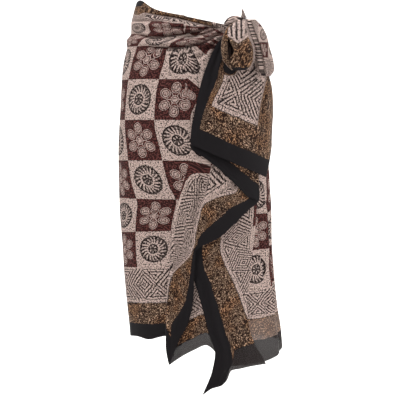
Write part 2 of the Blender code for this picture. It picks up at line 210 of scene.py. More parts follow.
# Soft upright folds round the sides and the back: middle and width in degrees of turn, rise in mm,
# how far down each starts in mm, and its lean in degrees. They grow and lean over the lengths below.
FOLDS = (
    (62, 5, 3.0, 250, 3),
    (76, 4, 3.5, 180, 5),
    (97, 5, 4.0, 120, 4),
    (113, 6, 4.5, 60, -2),
    (134, 5, 4.0, 200, -4),
    (152, 7, 6.0, 90, 2),
    (171, 5, 4.0, 260, 4),
    (188, 7, 6.5, 110, -3),
    (209, 5, 4.5, 220, -2),
    (226, 6, 5.0, 80, 5),
    (246, 5, 4.0, 240, 3),
    (262, 5, 3.0, 300, -3),
    (286, 6, 2.5, 420, 4),
)
FOLD_GROWTH = 350
FOLD_LEAN_HEIGHT = 500

# Creases drawn on the front, in mm: width, rise (below nought for a trough), cloth pleated away on
# each side, then places across and down. They are drawn from this turn on, over so many degrees.
FRONT_FROM = 272
FRONT_RUN = 12
FRONT_CREASES = (
    (3.4, -9.0, 22, (-172, 33), (-116, 46), (-55, 37), (1, 27), (64, 12)),
    (4.5, 6.0, 0, (-165, 25), (-116, 38), (-55, 29), (1, 19), (62, 6)),
    (4.5, 6.0, 0, (-163, 60), (-109, 59), (-55, 58), (1, 49), (64, 19)),
    (3.4, -9.0, 20, (-136, 66), (-87, 68), (-55, 69), (6, 59), (66, 26)),
    (4.5, 4.0, 0, (-84, 82), (-36, 78), (18, 62), (66, 32)),
    (4.6, -3.0, 0, (-20, 96), (14, 86), (34, 68), (48, 51)),
    (3.0, -6.0, 14, (-70, 47), (-20, 42), (10, 36), (64, 17)),
    (2.8, -4.0, 6, (-126, 58), (-106, 78), (-92, 92)),
    (3.2, -3.5, 8, (-170, 5), (-126, 5), (-84, 3)),
    (3.4, 3.0, 0, (-168, 13), (-126, 14), (-80, 12), (-30, 12)),
    (3.2, -7.0, 60, (-150, -17), (-60, -4), (0, 11), (62, 25)),
    (3.0, -6.0, 14, (-96, 18), (-35, 21), (-10, 20), (40, 13)),
    (3.2, -4.5, 4, (49, 56), (36, 76), (22, 100)),
    (3.2, 3.6, 0, (49, 50), (28, 74), (4, 102)),
    (3.4, -3.0, 0, (46, 47), (12, 80), (-18, 104)),
    (3.2, 3.0, 0, (46, 62), (40, 84), (32, 110)),
    (5.0, -1.8, 0, (-140, 112), (-90, 108), (-30, 104), (20, 84), (47, 58)),
    (6.0, 1.6, 0, (-150, 150), (-90, 122), (-20, 108), (30, 92)),
    (6.0, -2.0, 0, (-165, 190), (-120, 154), (-40, 128), (20, 112)),
    (7.0, 1.6, 0, (-172, 260), (-130, 200), (-70, 160), (0, 140)),
    (6.0, -2.2, 0, (26, 120), (8, 190), (-10, 280), (-18, 320)),
    (7.0, 2.0, 0, (36, 110), (14, 160), (0, 230), (-12, 300)),
    (8.0, -2.4, 0, (-132, 300), (-134, 420), (-126, 560), (-114, 700)),
    (9.0, 2.6, 0, (-100, 330), (-106, 470), (-100, 620), (-94, 740)),
    (7.0, -2.0, 0, (-152, 420), (-150, 560), (-142, 700)),
    (8.0, -6.5, 0, (16, 340), (4, 410), (-8, 470), (-24, 560)),
    (8.0, 4.5, 0, (-23, 338), (-46, 440), (-56, 520), (-64, 620)),
    (4.5, 4.5, 0, (30, 362), (14, 436), (6, 480)),
    (4.0, -2.5, 0, (52, 380), (34, 430), (16, 480)),
    (4.0, 2.0, 0, (76, 416), (44, 470), (10, 510)),
    (5.0, -1.6, 0, (-56, 560), (-62, 640), (-68, 720)),
    (4.0, 1.6, 0, (-36, 570), (-44, 650), (-56, 740), (-70, 810)),
)

# Creases round the sides and the back, the same, with places as turn in degrees and mm down.
ROUND_CREASES = (
    (4, -2.0, 0, (92, 52), (130, 30), (175, 8), (225, -8), (266, -14)),
    (4, 1.8, 0, (95, 66), (138, 44), (180, 22), (222, 12), (264, 10)),
    (4, -1.8, 0, (100, 84), (150, 60), (200, 44), (240, 34), (268, 26)),
    (5, -1.6, 0, (104, 150), (128, 98), (160, 72), (205, 66)),
    (5, 1.4, 0, (120, 190), (146, 120), (182, 92), (236, 74)),
    (5, -1.3, 0, (176, 160), (206, 108), (244, 84), (270, 70)),
    (6, -2.2, 0, (103, 180), (105, 380), (103, 600), (104, 770)),
    (8, -2.4, 0, (124, 240), (122, 420), (125, 640), (124, 780)),
    (6, 1.6, 0, (142, 330), (144, 500), (141, 690)),
    (9, -2.8, 0, (161, 200), (163, 400), (160, 620), (162, 770)),
    (7, -2.4, 0, (179, 330), (181, 520), (178, 760)),
    (8, -2.8, 0, (198, 230), (196, 430), (199, 640), (197, 760)),
    (6, 1.8, 0, (203, 420), (204, 600), (202, 750)),
    (8, -2.4, 0, (217, 260), (219, 480), (216, 750)),
    (7, -2.4, 0, (236, 180), (238, 380), (235, 590), (237, 740)),
    (7, -1.8, 0, (253, 330), (255, 520), (252, 740)),
    (4, -3.5, 0, (84, 150), (85, 330), (84, 520), (86, 640)),
    (4, 2.5, 0, (80, 170), (82, 380), (83, 600), (84, 760)),
    (4, -4.0, 0, (74, 180), (77, 330), (79, 420)),
    (4, -5.5, 0, (64, 392), (72, 480), (77, 600), (72, 720)),
    (5, 5.0, 0, (57, 380), (65, 480), (70, 600), (63, 780)),
    (5, -6.5, 0, (49, 420), (56, 520), (61, 640), (55, 760)),
    (4, -3.0, 0, (78, 620), (73, 740), (75, 830)),
)
# One degree of turn in mm, and the share of a crease's length over which each end fades.
DEGREE_LENGTH = 2.7
CREASE_TAPER = 0.22

# Cloth pleated away in a trough: how quickly the print jumps across it, and how far beside it the
# print is stretched.
TROUGH_TURN = 1.5
TROUGH_REACH = 12

# The other stretches, each between a left and a right edge, in mm as read from the front.
STRIP_COLUMNS = ("left_x", "left", "right_x", "right", "left_out", "mid_out", "right_out")
UNDER_END = (
    (36, 49, 107, 73, 5, 6, 2.2),
    (20, 122, 129, 135, 5, 6, 2.2),
    (1, 220, 138, 233, 4, 4, 2.2),
    (-9, 318, 141, 331, 1, 2, 2.2),
    (-13, 416, 141, 421, 1, 2, 2.2),
    (-18, 502, 137, 510, 2, 4, 2.4),
    (-22, 563, 132, 551, 5, 7, 2.6),
    (-23, 608, 127, 593, 5, 8, 3.0),
    (-9, 652, 124, 632, 5, 9, 3.4),
    (10, 719, 116, 686, 6, 9, 4.0),
    (25, 777, 120, 740, 7, 9, 4.0),
    (38, 818, 134, 792, 8, 10, 3.4),
    (31, 862, 156, 828, 9, 10, 2.6),
    (7, 923, 164, 845, 10, 10, 2.2),
)
UNDER_HEM = ((0.0, 923), (0.16, 906), (0.29, 900), (0.385, 886), (0.455, 862), (0.6, 857), (0.77, 851),
             (1.0, 845))
INNER_LAP = (
    (-66, 529, 36, 539, -1.0, 1.0, 4.4),
    (-71, 612, 36, 617, -1.0, 1.0, 4.4),
    (-75, 686, 38, 698, -1.0, 1.0, 4.4),
    (-77, 760, 45, 772, -0.5, 1.5, 4.0),
    (-76, 810, 50, 804, 0.0, 2.0, 4.0),
    (-73, 847, 50, 838, 1.0, 2.0, 4.0),
)
INNER_HEM = ((0.0, 847), (0.25, 826), (0.5, 810), (0.72, 799), (0.85, 808), (1.0, 836))
FRONT_FLAP = (
    (50, 104, 114, 128, 15.5, 15.5, 14.6),
    (30, 147, 125, 154, 16.5, 16.5, 14.6),
    (10, 216, 134, 233, 17, 17, 14.6),
    (-8, 277, 139, 294, 17.5, 17.5, 14.6),
    (-21, 313, 142, 343, 18, 18, 14.6),
    (4, 332, 144, 372, 18, 18, 14.6),
    (40, 359, 146, 402, 17.5, 17.5, 14.6),
    (82, 397, 147, 424, 17.5, 17.5, 14.7),
    (119, 435, 147, 442, 17.5, 17, 15.2),
)
TAIL = (
    (78, 17, 107, 22, 15.85, 15.85, 12),
    (71, 32, 118, 42, 16.5, 17, 14),
    (45, 56, 132, 80, 22, 24, 17),
    (14, 122, 165, 127, 24, 26, 13),
    (4, 154, 177, 167, 24, 26.5, 10),
    (-6, 196, 180, 206, 25, 27, 9),
    (-15, 240, 180, 250, 25, 27, 9),
    (-21, 275, 178, 295, 25, 27, 10),
    (-22, 300, 171, 350, 25, 27, 15),
    (-19, 306, 163, 385, 25, 27, 19),
)

# A lower edge shapes the last rows of a stretch, and mid_out is read this part of the way across.
HEM_ROWS = 4
MID_PLACE = 0.55

# Where the print lies on these stretches, row by row.
# Under end: height on the cloth at both edges, and how far in from the free edge, which is the
# left one, its right edge is.
UNDER_PRINT_COLUMNS = ("v_left", "v_right", "across")
UNDER_PRINT = (
    (893, 787, 174),
    (818, 721, 178),
    (718, 623, 182),
    (619, 525, 182),
    (521, 435, 182),
    (435, 346, 182),
    (374, 285, 180),
    (329, 238, 150),
    (283, 195, 125),
    (213, 140, 98),
    (153, 88, 86),
    (110, 40, 84),
    (66, 14, 84),
    (0, 0, 84),
)
# Near its hem the print is measured up from the hem instead: at what scale, from which row and
# part of the way across, over how many of each. The hem is a single layer from a part on.
UNDER_HEM_PRINT = 0.66
UNDER_HEM_START = (9, 0.3)
UNDER_HEM_RUN = (2, 0.15)
UNDER_SINGLE_FROM = 0.35
# Inner lap: distance along the cloth at a place across, and the scale of the print.
INNER_PRINT_U = 420
INNER_PRINT_X = -80
INNER_PRINT_SCALE = 1.1
# Front flap: its free edge as seen, and height on the cloth at the edge's first end.
FLAP_EDGE = ((-21, 313), (147, 450))
FLAP_CORNER_V = 735
# Tail: parts of the way across where the black, the gold and the white of its border end.
TAIL_PRINT_COLUMNS = ("black", "gold", "white")
TAIL_PRINT = (
    (0.24, 0.34, 0.97),
    (0.24, 0.34, 0.97),
    (0.24, 0.33, 0.97),
    (0.226, 0.307, 0.96),
    (0.20, 0.28, 0.885),
    (0.145, 0.21, 0.835),
    (0.11, 0.17, 0.81),
    (0.10, 0.15, 0.80),
    (0.10, 0.15, 0.80),
    (0.10, 0.15, 0.80),
)
# The tail's end edge as seen, the scale of the print in from it, and where its white band ends.
TAIL_EDGE = ((-19, 306), (163, 385))
TAIL_EDGE_PRINT = 0.8
TAIL_WHITE_END = 190
# Beyond the white band gold shows to the side edge: from where, over how far, and how near to the
# lines on either side of the gold band.
TAIL_GOLD_FROM = 188
TAIL_GOLD_RUN = 6
TAIL_GOLD_MARGIN = 1
# A black patch of the tail under the knot: middle and half size in mm, and its soft rim.
TAIL_PATCH = (75, 118)
TAIL_PATCH_HALF = (17, 16)
TAIL_PATCH_FROM = 0.8
TAIL_PATCH_RUN = 0.5

# Creases of a stretch: part of the way across, width, depth in mm, first and last row. They grow
# and fade over so many rows.
CREASE_ROWS = 1.5
TAIL_CREASES = (
    (0.13, 0.035, 3.0, 1.5, 8.0),
    (0.30, 0.05, 1.5, 2.0, 6.0),
    (0.52, 0.06, 2.0, 3.0, 9.5),
    (0.86, 0.03, 3.5, 2.0, 6.5),
    (0.21, 0.02, -1.4, 1.0, 6.0),
    (0.40, 0.03, -1.3, 0.5, 5.0),
    (0.66, 0.03, 1.0, 1.0, 5.5),
    (0.76, 0.025, -1.2, 0.5, 6.0),
    (0.93, 0.02, -1.0, 2.5, 8.0),
)
UNDER_CREASES = (
    (0.22, 0.05, -2.0, 7.0, 14.0),
    (0.45, 0.06, 1.5, 8.0, 14.0),
    (0.68, 0.05, -2.0, 9.0, 14.0),
    (0.12, 0.03, 1.2, 6.0, 12.0),
    (0.34, 0.03, 1.0, 6.0, 13.0),
    (0.57, 0.03, -1.0, 7.0, 13.0),
    (0.88, 0.03, 1.2, 7.0, 13.5),
)
INNER_CREASES = (
    (0.35, 0.06, 1.0, 1.0, 6.0),
    (0.62, 0.05, -1.0, 2.0, 6.0),
)
FLAP_CREASES = (
    (0.30, 0.06, 0.6, 1.0, 8.0),
)

# Rolled stretches of the bow: where the middle runs across, down and out, its half width and half
# depth in mm, and how many degrees it is left open.
ROLL_COLUMNS = ("x", "down", "half", "out", "deep", "open")
LOOP_LEFT = (
    (102, 2, 12, 45.6, 6, -10),
    (90, 24, 30, 55, 11, -8),
    (89, 50, 40, 52, 22, 14),
    (91, 76, 45, 53, 23, 30),
    (93, 96, 43, 51, 21, 12),
    (96, 114, 32, 47, 14, -6),
    (97, 124, 20, 44, 8, -8),
)
LOOP_RIGHT = (
    (127, 0, 10, 42.6, 6, -8),
    (135, 16, 17, 42.6, 10, -8),
    (144, 38, 20, 45, 14, -8),
    (154, 68, 18, 44, 15, -8),
    (161, 98, 20, 42, 14, -8),
    (164, 122, 19, 38, 11, -8),
    (164, 138, 10, 35, 6, -8),
)
# Pleats of the loops, in mm and in pleats to a turn, the drift of the fine ones down a loop, and the
# depth from which a loop has them in full. The inner lip is smaller by a share.
LIP_STEP = 0.16
LOOP_PLEATS = 7
LOOP_PLEAT = 1.3
FINE_PLEATS = 17
FINE_PLEAT = 0.5
FINE_DRIFT = 0.05
FULL_DEPTH = 12
# The turn at which each roll begins, in degrees. Then the groove down the right loop: its turn in
# degrees, depth in mm, width in radians, and the degrees over which the print changes at it.
LIP_LEFT = 128
LIP_BACK = 250
KNOT_LIP = 255
GROOVE_AT = 472
GROOVE_DEPTH = 5.0
GROOVE_TURN = 0.16
GROOVE_BLEND = 8
# Print of the left loop, in mm. Round its side it follows the turn. On its face the distance in
# from the edge falls downwards and to both sides, and the crosses lean with it.
LOOP_TURNS = (0.0, 0.12, 0.4, 0.62, 1.0)
LOOP_TURN_U = (45, 84, 300, 190, 58)
LOOP_FACE_FROM = 0.62
LOOP_FACE_RUN = 0.12
LOOP_MIDDLE = 94
LOOP_TOP_U = 164
LOOP_FALL = 1.35
LOOP_SPREAD = 0.9
LOOP_LOW_U = 83
LOOP_LOW_FALL = 0.42
LOOP_CROSS_V = 487
LOOP_SLANT = 0.8
LOOP_SLANT_FROM = 70
LOOP_BACK_V = 480
LOOP_BACK_SCALE = 1.1
# Print of the right loop: where its face meets the white band, the steps above and below that, and
# the places of the print on the face and on the roll beyond the groove.
RIGHT_DOWN = 93
RIGHT_STEPS = (2.4, 1.2)
RIGHT_FACE_V = 176
RIGHT_FACE_X = 145
RIGHT_FACE_STEP = 4
RIGHT_ROLL_U = 146
RIGHT_ROLL_LEAN = 0.12
RIGHT_ROLL_V = 262

# The knot: its run, its pleats as for the loops, and its print with a wave round the roll.
KNOT_COLUMNS = ("x", "down", "half", "out", "deep")
KNOT = (
    (60, 15, 7, 21, 6),
    (70, 12, 17, 27, 10),
    (86, 9, 20, 27, 12),
    (102, 12, 18, 27, 12),
    (118, 14, 15, 27, 10),
    (128, 16, 8, 27, 7),
)
KNOT_PLEATS = 7
KNOT_PLEAT = 1.2
KNOT_FINE_PLEATS = 19
KNOT_FINE_PLEAT = 0.5
KNOT_DRIFT = 12
KNOT_PRINT = (120, 600)
KNOT_PRINT_STEPS = (0.3, 20)
KNOT_WAVE = 12
KNOT_WAVES = 3

# The small tip above the knot: its run, how far its middle bows out, and its print.
TIP_COLUMNS = ("x", "down", "half", "out")
TIP = (
    (108, -3.5, 8, 38.6),
    (107, -10, 5, 39.5),
    (106, -17, 3.5, 39),
    (104, -25, 1.4, 38),
)
TIP_BEND = 3.0
TIP_PRINT = (150, 520)
TIP_PRINT_STEPS = (10, 8)

# How finely each stretch is meshed, and how much its rows or columns crowd towards one end.
WRAP_ROWS = 190
ROW_CROWDING = 0.25
SIDE_COLUMNS = 40
SIDE_CROWDING = 1.5
BACK_COLUMNS = 86
FRONT_COLUMNS = 60
FOLD_COLUMNS = 8
PANEL_COLUMNS = 62
UNDER_GRID = (150, 100)
INNER_GRID = (60, 60)
FLAP_GRID = (90, 60)
TAIL_GRID = (120, 130)
LOOP_GRID = (90, 150)
KNOT_GRID = (70, 140)
TIP_GRID = (24, 20)

# The studio, in metres: a floor that sweeps up into a wall behind, and the camera's lens in mm. The
# lens shows 980 mm across at 3 m, as in the photo.
SWEEP_HALF = 8.0
SWEEP_FRONT = -6.0
SWEEP_BEND = 4.0
SWEEP_FLOOR = -1.02
SWEEP_RADIUS = 1.0
SWEEP_STEPS = 8
SWEEP_TOP = 6.0
LENS = 110.2
SENSOR = 36.0
CAMERA_AIM = (0.0012, 0.0, -0.441)

# The four finishes: name, how far the print fades to the reverse, and whether it is a single layer,
# which gets painted backlight.
VOILE_FINISHES = (
    ("printed_voile_face", 0.0, False),
    ("printed_voile_reverse", 0.35, False),
    ("printed_voile_single_face", 0.0, True),
    ("printed_voile_single_reverse", 0.35, True),
)
# How much paler the print and the black of a single layer are painted, as painted backlight standing
# for the light behind it shining through.
SINGLE_PAINTED_BACKLIGHT = 0.2
SINGLE_BLACK_PAINTED_BACKLIGHT = 0.03

# The uneven marks of the print: size of a feature in mm, detail and distortion. They are the wobble
# of hand-drawn wax, wax specks, red specks, gold strokes and slow changes of gold. Real specks
# would be about 1 mm, and they are drawn coarser so that they show.
PRINT_NOISES = (
    ("wave", 18, 2.0, 0.0),
    ("fine_noise", 3.2, 1.0, 0.0),
    ("red_noise", 3.8, 0.0, 0.0),
    ("curl_noise", 9, 1.0, 1.5),
    ("wide_noise", 45, 0.0, 0.0),
)

# The print, worked out in mm on the flat cloth. Each line is a result, an operation and its inputs.
PRINT_STEPS = (
    ("u", "MULTIPLY", "u_metres", 1000.0),
    ("v", "MULTIPLY", "v_metres", 1000.0),
    ("wobble", "MULTIPLY_ADD", "wave", 5.0, -2.5),
    # How far in from the nearest edge, with the uneven line of a hand-waxed border.
    ("far_u", "SUBTRACT", CUT_LENGTH, "u"),
    ("far_v", "SUBTRACT", CUT_WIDTH, "v"),
    ("near_u", "MINIMUM", "u", "far_u"),
    ("near_v", "MINIMUM", "v", "far_v"),
    ("clean_edge", "MINIMUM", "near_u", "near_v"),
    ("edge", "ADD", "clean_edge", "wobble"),
    ("beside", "LESS_THAN", "near_u", "near_v"),
    ("sideways", "SUBTRACT", "v", "u"),
    ("along", "MULTIPLY_ADD", "beside", "sideways", "u"),
    # White band: a cross in each repeat, small triangles above and below it, chevrons beside it.
    ("run", "ADD", "along", BAND_START),
    ("repeat", "FLOORED_MODULO", "run", CELL),
    ("from_cross", "SUBTRACT", "repeat", CROSS_AT),
    ("p", "ABSOLUTE", "from_cross"),
    ("rise", "SUBTRACT", "edge", BAND_MIDDLE),
    ("q", "ABSOLUTE", "rise"),
    ("lean", "MULTIPLY_ADD", "q", -CROSS_LEAN, "p"),
    ("across_lines", "MULTIPLY", "lean", CROSS_SINE),
    ("side", "ABSOLUTE", "across_lines"),
    ("base", "SUBTRACT", BAND_HALF, "q"),
    ("in_triangle", "LESS_THAN", "lean", 0.0),
    ("side_or_base", "MINIMUM", "side", "base"),
    ("closed", "SUBTRACT", "side_or_base", "side"),
    ("inset", "MULTIPLY_ADD", "closed", "in_triangle", "side"),
    ("inset_rough", "MULTIPLY_ADD", "wobble", 0.5, "inset"),
    ("ridge", "PINGPONG", "inset_rough", LINE_STEP / 2),
    ("drawn_line", "LESS_THAN", "ridge", 1.5),
    ("line_zone", "LESS_THAN", "q", BAND_HALF),
    ("triangle_line", "MULTIPLY", "drawn_line", "line_zone"),
    ("gold_rule", "COMPARE", "edge", GOLD_BAND + 1.0, 0.9),
    ("band_line", "MAXIMUM", "triangle_line", "gold_rule"),
    # Squares of the field, wheel and flower by turns.
    ("cu", "SUBTRACT", "u", WHITE_BAND),
    ("cv", "SUBTRACT", "v", WHITE_BAND),
    ("iu", "DIVIDE", "cu", CELL),
    ("iv", "DIVIDE", "cv", CELL),
    ("i", "FLOOR", "iu"),
    ("j", "FLOOR", "iv"),
    ("count", "ADD", "i", "j"),
    ("odd", "FLOORED_MODULO", "count", 2.0),
    ("mu", "FLOORED_MODULO", "cu", CELL),
    ("mv", "FLOORED_MODULO", "cv", CELL),
    ("x", "SUBTRACT", "mu", CELL / 2),
    ("y", "SUBTRACT", "mv", CELL / 2),
    ("xx", "MULTIPLY", "x", "x"),
    ("rr", "MULTIPLY_ADD", "y", "y", "xx"),
    ("r0", "SQRT", "rr"),
    ("r_round", "MULTIPLY_ADD", "wobble", 0.4, "r0"),
    ("r", "MULTIPLY", "r_round", 1.05),
    ("bearing", "ARCTAN2", "y", "x"),
    ("petal_turn", "ADD", "bearing", math.pi / 6),
    ("petal_angle", "PINGPONG", "petal_turn", math.pi / 6),
    # Sun wheel: a dark rim, pale swirled teeth that widen inwards, and a dark middle with specks.
    ("swirl", "MULTIPLY_ADD", "bearing", 19 / math.pi, 40.0),
    ("teeth_wave", "MULTIPLY_ADD", "r", 0.09, "swirl"),
    ("teeth", "PINGPONG", "teeth_wave", 1.0),
    ("gap_share", "MULTIPLY_ADD", "r", 0.028, -0.17),
    ("tooth_gap", "LESS_THAN", "teeth", "gap_share"),
    ("tooth_zone", "COMPARE", "r", 25.5, 8.4),
    ("dark_teeth", "MULTIPLY", "tooth_gap", "tooth_zone"),
    ("rim", "COMPARE", "r", 33.6, 2.0),
    ("middle", "LESS_THAN", "r", 13.6),
    ("speck_ring", "COMPARE", "r", 7.5, 2.6),
    ("speck_turn", "LESS_THAN", "petal_angle", 0.2),
    ("speck", "MULTIPLY", "speck_ring", "speck_turn"),
    ("dark_middle", "SUBTRACT", "middle", "speck"),
    ("wheel_rings", "MAXIMUM", "dark_teeth", "rim"),
    ("wheel", "MAXIMUM", "wheel_rings", "dark_middle"),
    # Flower: six drop petals, each outlined with a loop inside, round a ringed hub.
    ("reach", "COSINE", "petal_angle"),
    ("spread", "SINE", "petal_angle"),
    ("px0", "MULTIPLY", "r", "reach"),
    ("px", "SUBTRACT", "px0", 27.5),
    ("px_long", "MULTIPLY", "px", 0.86),
    ("py", "MULTIPLY", "r", "spread"),
    ("pxx", "MULTIPLY", "px_long", "px_long"),
    ("prr", "MULTIPLY_ADD", "py", "py", "pxx"),
    ("pr", "SQRT", "prr"),
    ("petal", "LESS_THAN", "pr", 11.4),
    ("petal_loop", "COMPARE", "pr", 9.2, 0.95),
    ("petal_inside", "LESS_THAN", "pr", 8.5),
    ("petal_curl", "COMPARE", "pr", 4.6, 1.2),
    ("hub", "LESS_THAN", "r", 10.0),
    ("hub_loop", "COMPARE", "r", 7.2, 0.9),
    ("hub_inside", "LESS_THAN", "r", 6.3),
    ("corner", "SUBTRACT", math.pi / 6, "petal_angle"),
    ("ray_off", "MULTIPLY", "corner", "r"),
    ("ray_line", "LESS_THAN", "ray_off", 0.9),
    ("ray_reach", "LESS_THAN", "r", 20.0),
    ("ray", "MULTIPLY", "ray_line", "ray_reach"),
    ("pale_parts", "MAXIMUM", "petal", "hub"),
    ("pale", "MAXIMUM", "pale_parts", "ray"),
    ("insides", "MAXIMUM", "petal_inside", "hub_inside"),
    ("half_tone", "MULTIPLY", "insides", 0.12),
    ("curl_cut", "MULTIPLY_ADD", "petal_curl", 0.5, "half_tone"),
    ("loops", "MAXIMUM", "petal_loop", "hub_loop"),
    ("ground", "SUBTRACT", 1.0, "pale"),
    ("drawn", "MAXIMUM", "ground", "loops"),
    ("flower", "MAXIMUM", "drawn", "curl_cut"),
    # Which of them is drawn, and where the border bands lie over them.
    ("flower_only", "SUBTRACT", 1.0, "odd"),
    ("swap", "SUBTRACT", "wheel", "flower"),
    ("cell_dark", "MULTIPLY_ADD", "swap", "odd", "flower"),
    ("in_black", "LESS_THAN", "edge", BLACK_BAND),
    ("in_gold", "LESS_THAN", "edge", GOLD_BAND),
    ("in_white", "LESS_THAN", "edge", WHITE_BAND),
    ("band_swap", "SUBTRACT", "band_line", "cell_dark"),
    ("dark", "MULTIPLY_ADD", "band_swap", "in_white", "cell_dark"),
    ("not_band", "SUBTRACT", 1.0, "in_white"),
    ("maroon_part", "MULTIPLY", "flower_only", "not_band"),
    # Speckle of cracked wax over all of it, stronger on the pale ground.
    ("grain", "MULTIPLY_ADD", "fine_noise", 4.8, -2.16),
    ("grain_pale", "MULTIPLY_ADD", "dark", -0.6, 1.0),
    ("grain_cell", "MULTIPLY_ADD", "maroon_part", -0.35, "grain_pale"),
    ("grain_here", "MULTIPLY", "grain", "grain_cell"),
    ("petal_shade", "MULTIPLY_ADD", "maroon_part", 0.16, "dark"),
    ("dark_soft", "MULTIPLY_ADD", "petal_shade", 0.92, "grain_here"),
    ("ink", "MINIMUM", "dark_soft", 1.0),
    ("red_grain", "MULTIPLY_ADD", "red_noise", 3.8, -1.65),
    # The short curled strokes of the gold band.
    ("curl", "MULTIPLY", "curl_noise", 4.2),
    ("stroke", "PINGPONG", "curl", 0.5),
    ("gold_ink", "MULTIPLY_ADD", "stroke", 4.0, -1.3),
    ("gold_grain", "MULTIPLY_ADD", "fine_noise", 3.6, -1.8),
    ("gold_part", "ADD", "gold_ink", "gold_grain"),
    ("gold_change", "MULTIPLY_ADD", "wide_noise", 5.0, -2.2),
)

# Colours laid over each other: a result, its share of the second colour, the first and the second.
PRINT_BLENDS = (
    ("maroons", "red_grain", "maroon", "red"),
    ("inks", "maroon_part", "line_black", "maroons"),
    ("field", "ink", "white", "inks"),
    ("golds", "gold_change", "gold_light", "gold_warm"),
    ("gold", "gold_part", "gold_dark", "golds"),
    ("with_gold_band", "in_gold", "field", "gold"),
    # Painted backlight: a single layer is mixed towards the white ground, standing for light shining
    # through it from behind.
    ("with_painted_backlight", "painted_backlight", "with_gold_band", "white"),
    ("with_black", "in_black", "with_painted_backlight", "edge_black"),
    ("faded", "fade", "with_black", "reverse"),
)
# Sockets of a mix of colours: its factor and its two colours, and its result.
MIX_INPUTS = (0, 6, 7)
MIX_OUTPUT = 2


def linear(value):
    """A colour written as sRGB hex, in linear light."""
    parts = [int(value[i:i + 2], 16) / 255 for i in (1, 3, 5)]
    return [p / 12.92 if p <= 0.04045 else ((p + 0.055) / 1.055) ** 2.4 for p in parts]


def smooth(at, knots, values):
    """Values at the given places on a curve through a table, without overshoot."""
    knots = np.asarray(knots, float)
    values = np.asarray(values, float)
    step = np.diff(knots)
    slope = np.diff(values) / step
    tangent = np.zeros(len(knots))
    tangent[0] = slope[0]
    tangent[-1] = slope[-1]
    for i in range(1, len(knots) - 1):
        if slope[i - 1] * slope[i] > 0:
            before = 2 * step[i] + step[i - 1]
            after = step[i] + 2 * step[i - 1]
            tangent[i] = (before + after) / (before / slope[i - 1] + after / slope[i])
    at = np.clip(np.asarray(at, float), knots[0], knots[-1])
    i = np.clip(np.searchsorted(knots, at, side="right") - 1, 0, len(step) - 1)
    t = (at - knots[i]) / step[i]
    start = values[i] * (1 + 2 * t) * (1 - t) ** 2 + values[i + 1] * t * t * (3 - 2 * t)
    bend = tangent[i] * t * (1 - t) ** 2 - tangent[i + 1] * t * t * (1 - t)
    return start + step[i] * bend


def columns_of(table, names, rows):
    """Every named column of a table, read at fractional rows."""
    found = {}
    for place, name in enumerate(names):
        found[name] = smooth(rows, range(len(table)), [line[place] for line in table])[:, None]
    return found


def ease(value):
    """Soft step from 0 to 1."""
    value = np.clip(value, 0.0, 1.0)
    return value * value * (3 - 2 * value)

def ease(value):
    """Soft step from 0 to 1."""
    value = np.clip(value, 0.0, 1.0)
    return value * value * (3 - 2 * value)


def bump(value, middle, width):
    """Soft bump of height 1 about a middle."""
    return np.exp(-((value - middle) / width) ** 2)


def outline(fall):
    """Sides and depths of the body of the cloth at a height below the waist."""
    heights = [line[0] * MM for line in OUTLINE]
    sizes = []
    for place in range(1, len(OUTLINE_COLUMNS)):
        sizes.append(smooth(fall, heights, [line[place] * MM for line in OUTLINE]))
    return sizes


def power(value, exponent):
    """Signed power."""
    return np.sign(value) * np.abs(value) ** exponent


def turn_at(across, down, out):
    """Turn round the body, and true height, of what is seen from the front at a place."""
    depth = np.full(np.shape(across), FIRST_DEPTH)
    for _round in range(TURN_ROUNDS):
        near = 1 - depth / VIEW_DISTANCE
        fall = (down + VIEW_HEIGHT) * near - VIEW_HEIGHT
        left, right, front, _back = outline(fall)
        half = (right - left) / 2 + out
        side = np.clip((across * near - (left + right) / 2) / half, -1, 1)
        turn = np.arcsin(power(side, RING_POWER / 2))
        depth = (front + out) * np.cos(turn) ** (2 / RING_POWER)
    return turn, fall


def ring(turn, fall, out):
    """Points round the body. Turn 0 is the front and a quarter turn the wearer's left side."""
    left, right, front, back = outline(fall)
    sine = np.sin(turn)
    cosine = np.cos(turn)
    deep = np.where(cosine > 0, front, back)
    wide = (right - left) / 2
    x = (left + right) / 2 + (wide + out) * power(sine, 2 / RING_POWER)
    y = -(deep + out) * power(cosine, 2 / RING_POWER)
    return np.stack([x, y, -fall], axis=-1)


def seen(across, down, out):
    """Points from sizes read at the front, in mm."""
    turn, fall = turn_at(across * MM, down * MM, out * MM)
    return ring(turn, fall, out * MM)


def seen_from_front(points):
    """Where points are seen from the front, across and down in mm."""
    near = 1 + points[..., 1] / VIEW_DISTANCE
    across = points[..., 0] / near
    down = (VIEW_HEIGHT - points[..., 2]) / near - VIEW_HEIGHT
    return across / MM, down / MM


def fold_relief(turn, fall):
    """How far the upright folds stand out, in mm."""
    degrees = np.degrees(turn) % 360
    depth = fall / MM
    total = np.zeros(np.shape(turn))
    for middle, width, rise, top, lean in FOLDS:
        grown = ease((depth - top) / FOLD_GROWTH)
        place = middle + lean * (depth - top) / FOLD_LEAN_HEIGHT
        total = total + rise * grown * bump(degrees, place, width)
    return total


def crease_taper(share):
    """How far a crease is at its full size, from its share of the way along."""
    return ease(share / CREASE_TAPER) * ease((1 - share) / CREASE_TAPER)


def crease_spans(places, across, down, stretch=1.0):
    """For each span of a crease: length, way along it, distance from it, distance below, direction."""
    for a, b in zip(places, places[1:]):
        span = math.hypot((b[0] - a[0]) * stretch, b[1] - a[1])
        step_x = (b[0] - a[0]) * stretch / span
        step_y = (b[1] - a[1]) / span
        off_x = (across - a[0]) * stretch
        off_y = down - a[1]
        along = np.clip(off_x * step_x + off_y * step_y, 0, span)
        away = np.hypot(off_x - step_x * along, off_y - step_y * along)
        yield span, along, away, off_y * step_x - off_x * step_y, (step_x, step_y)


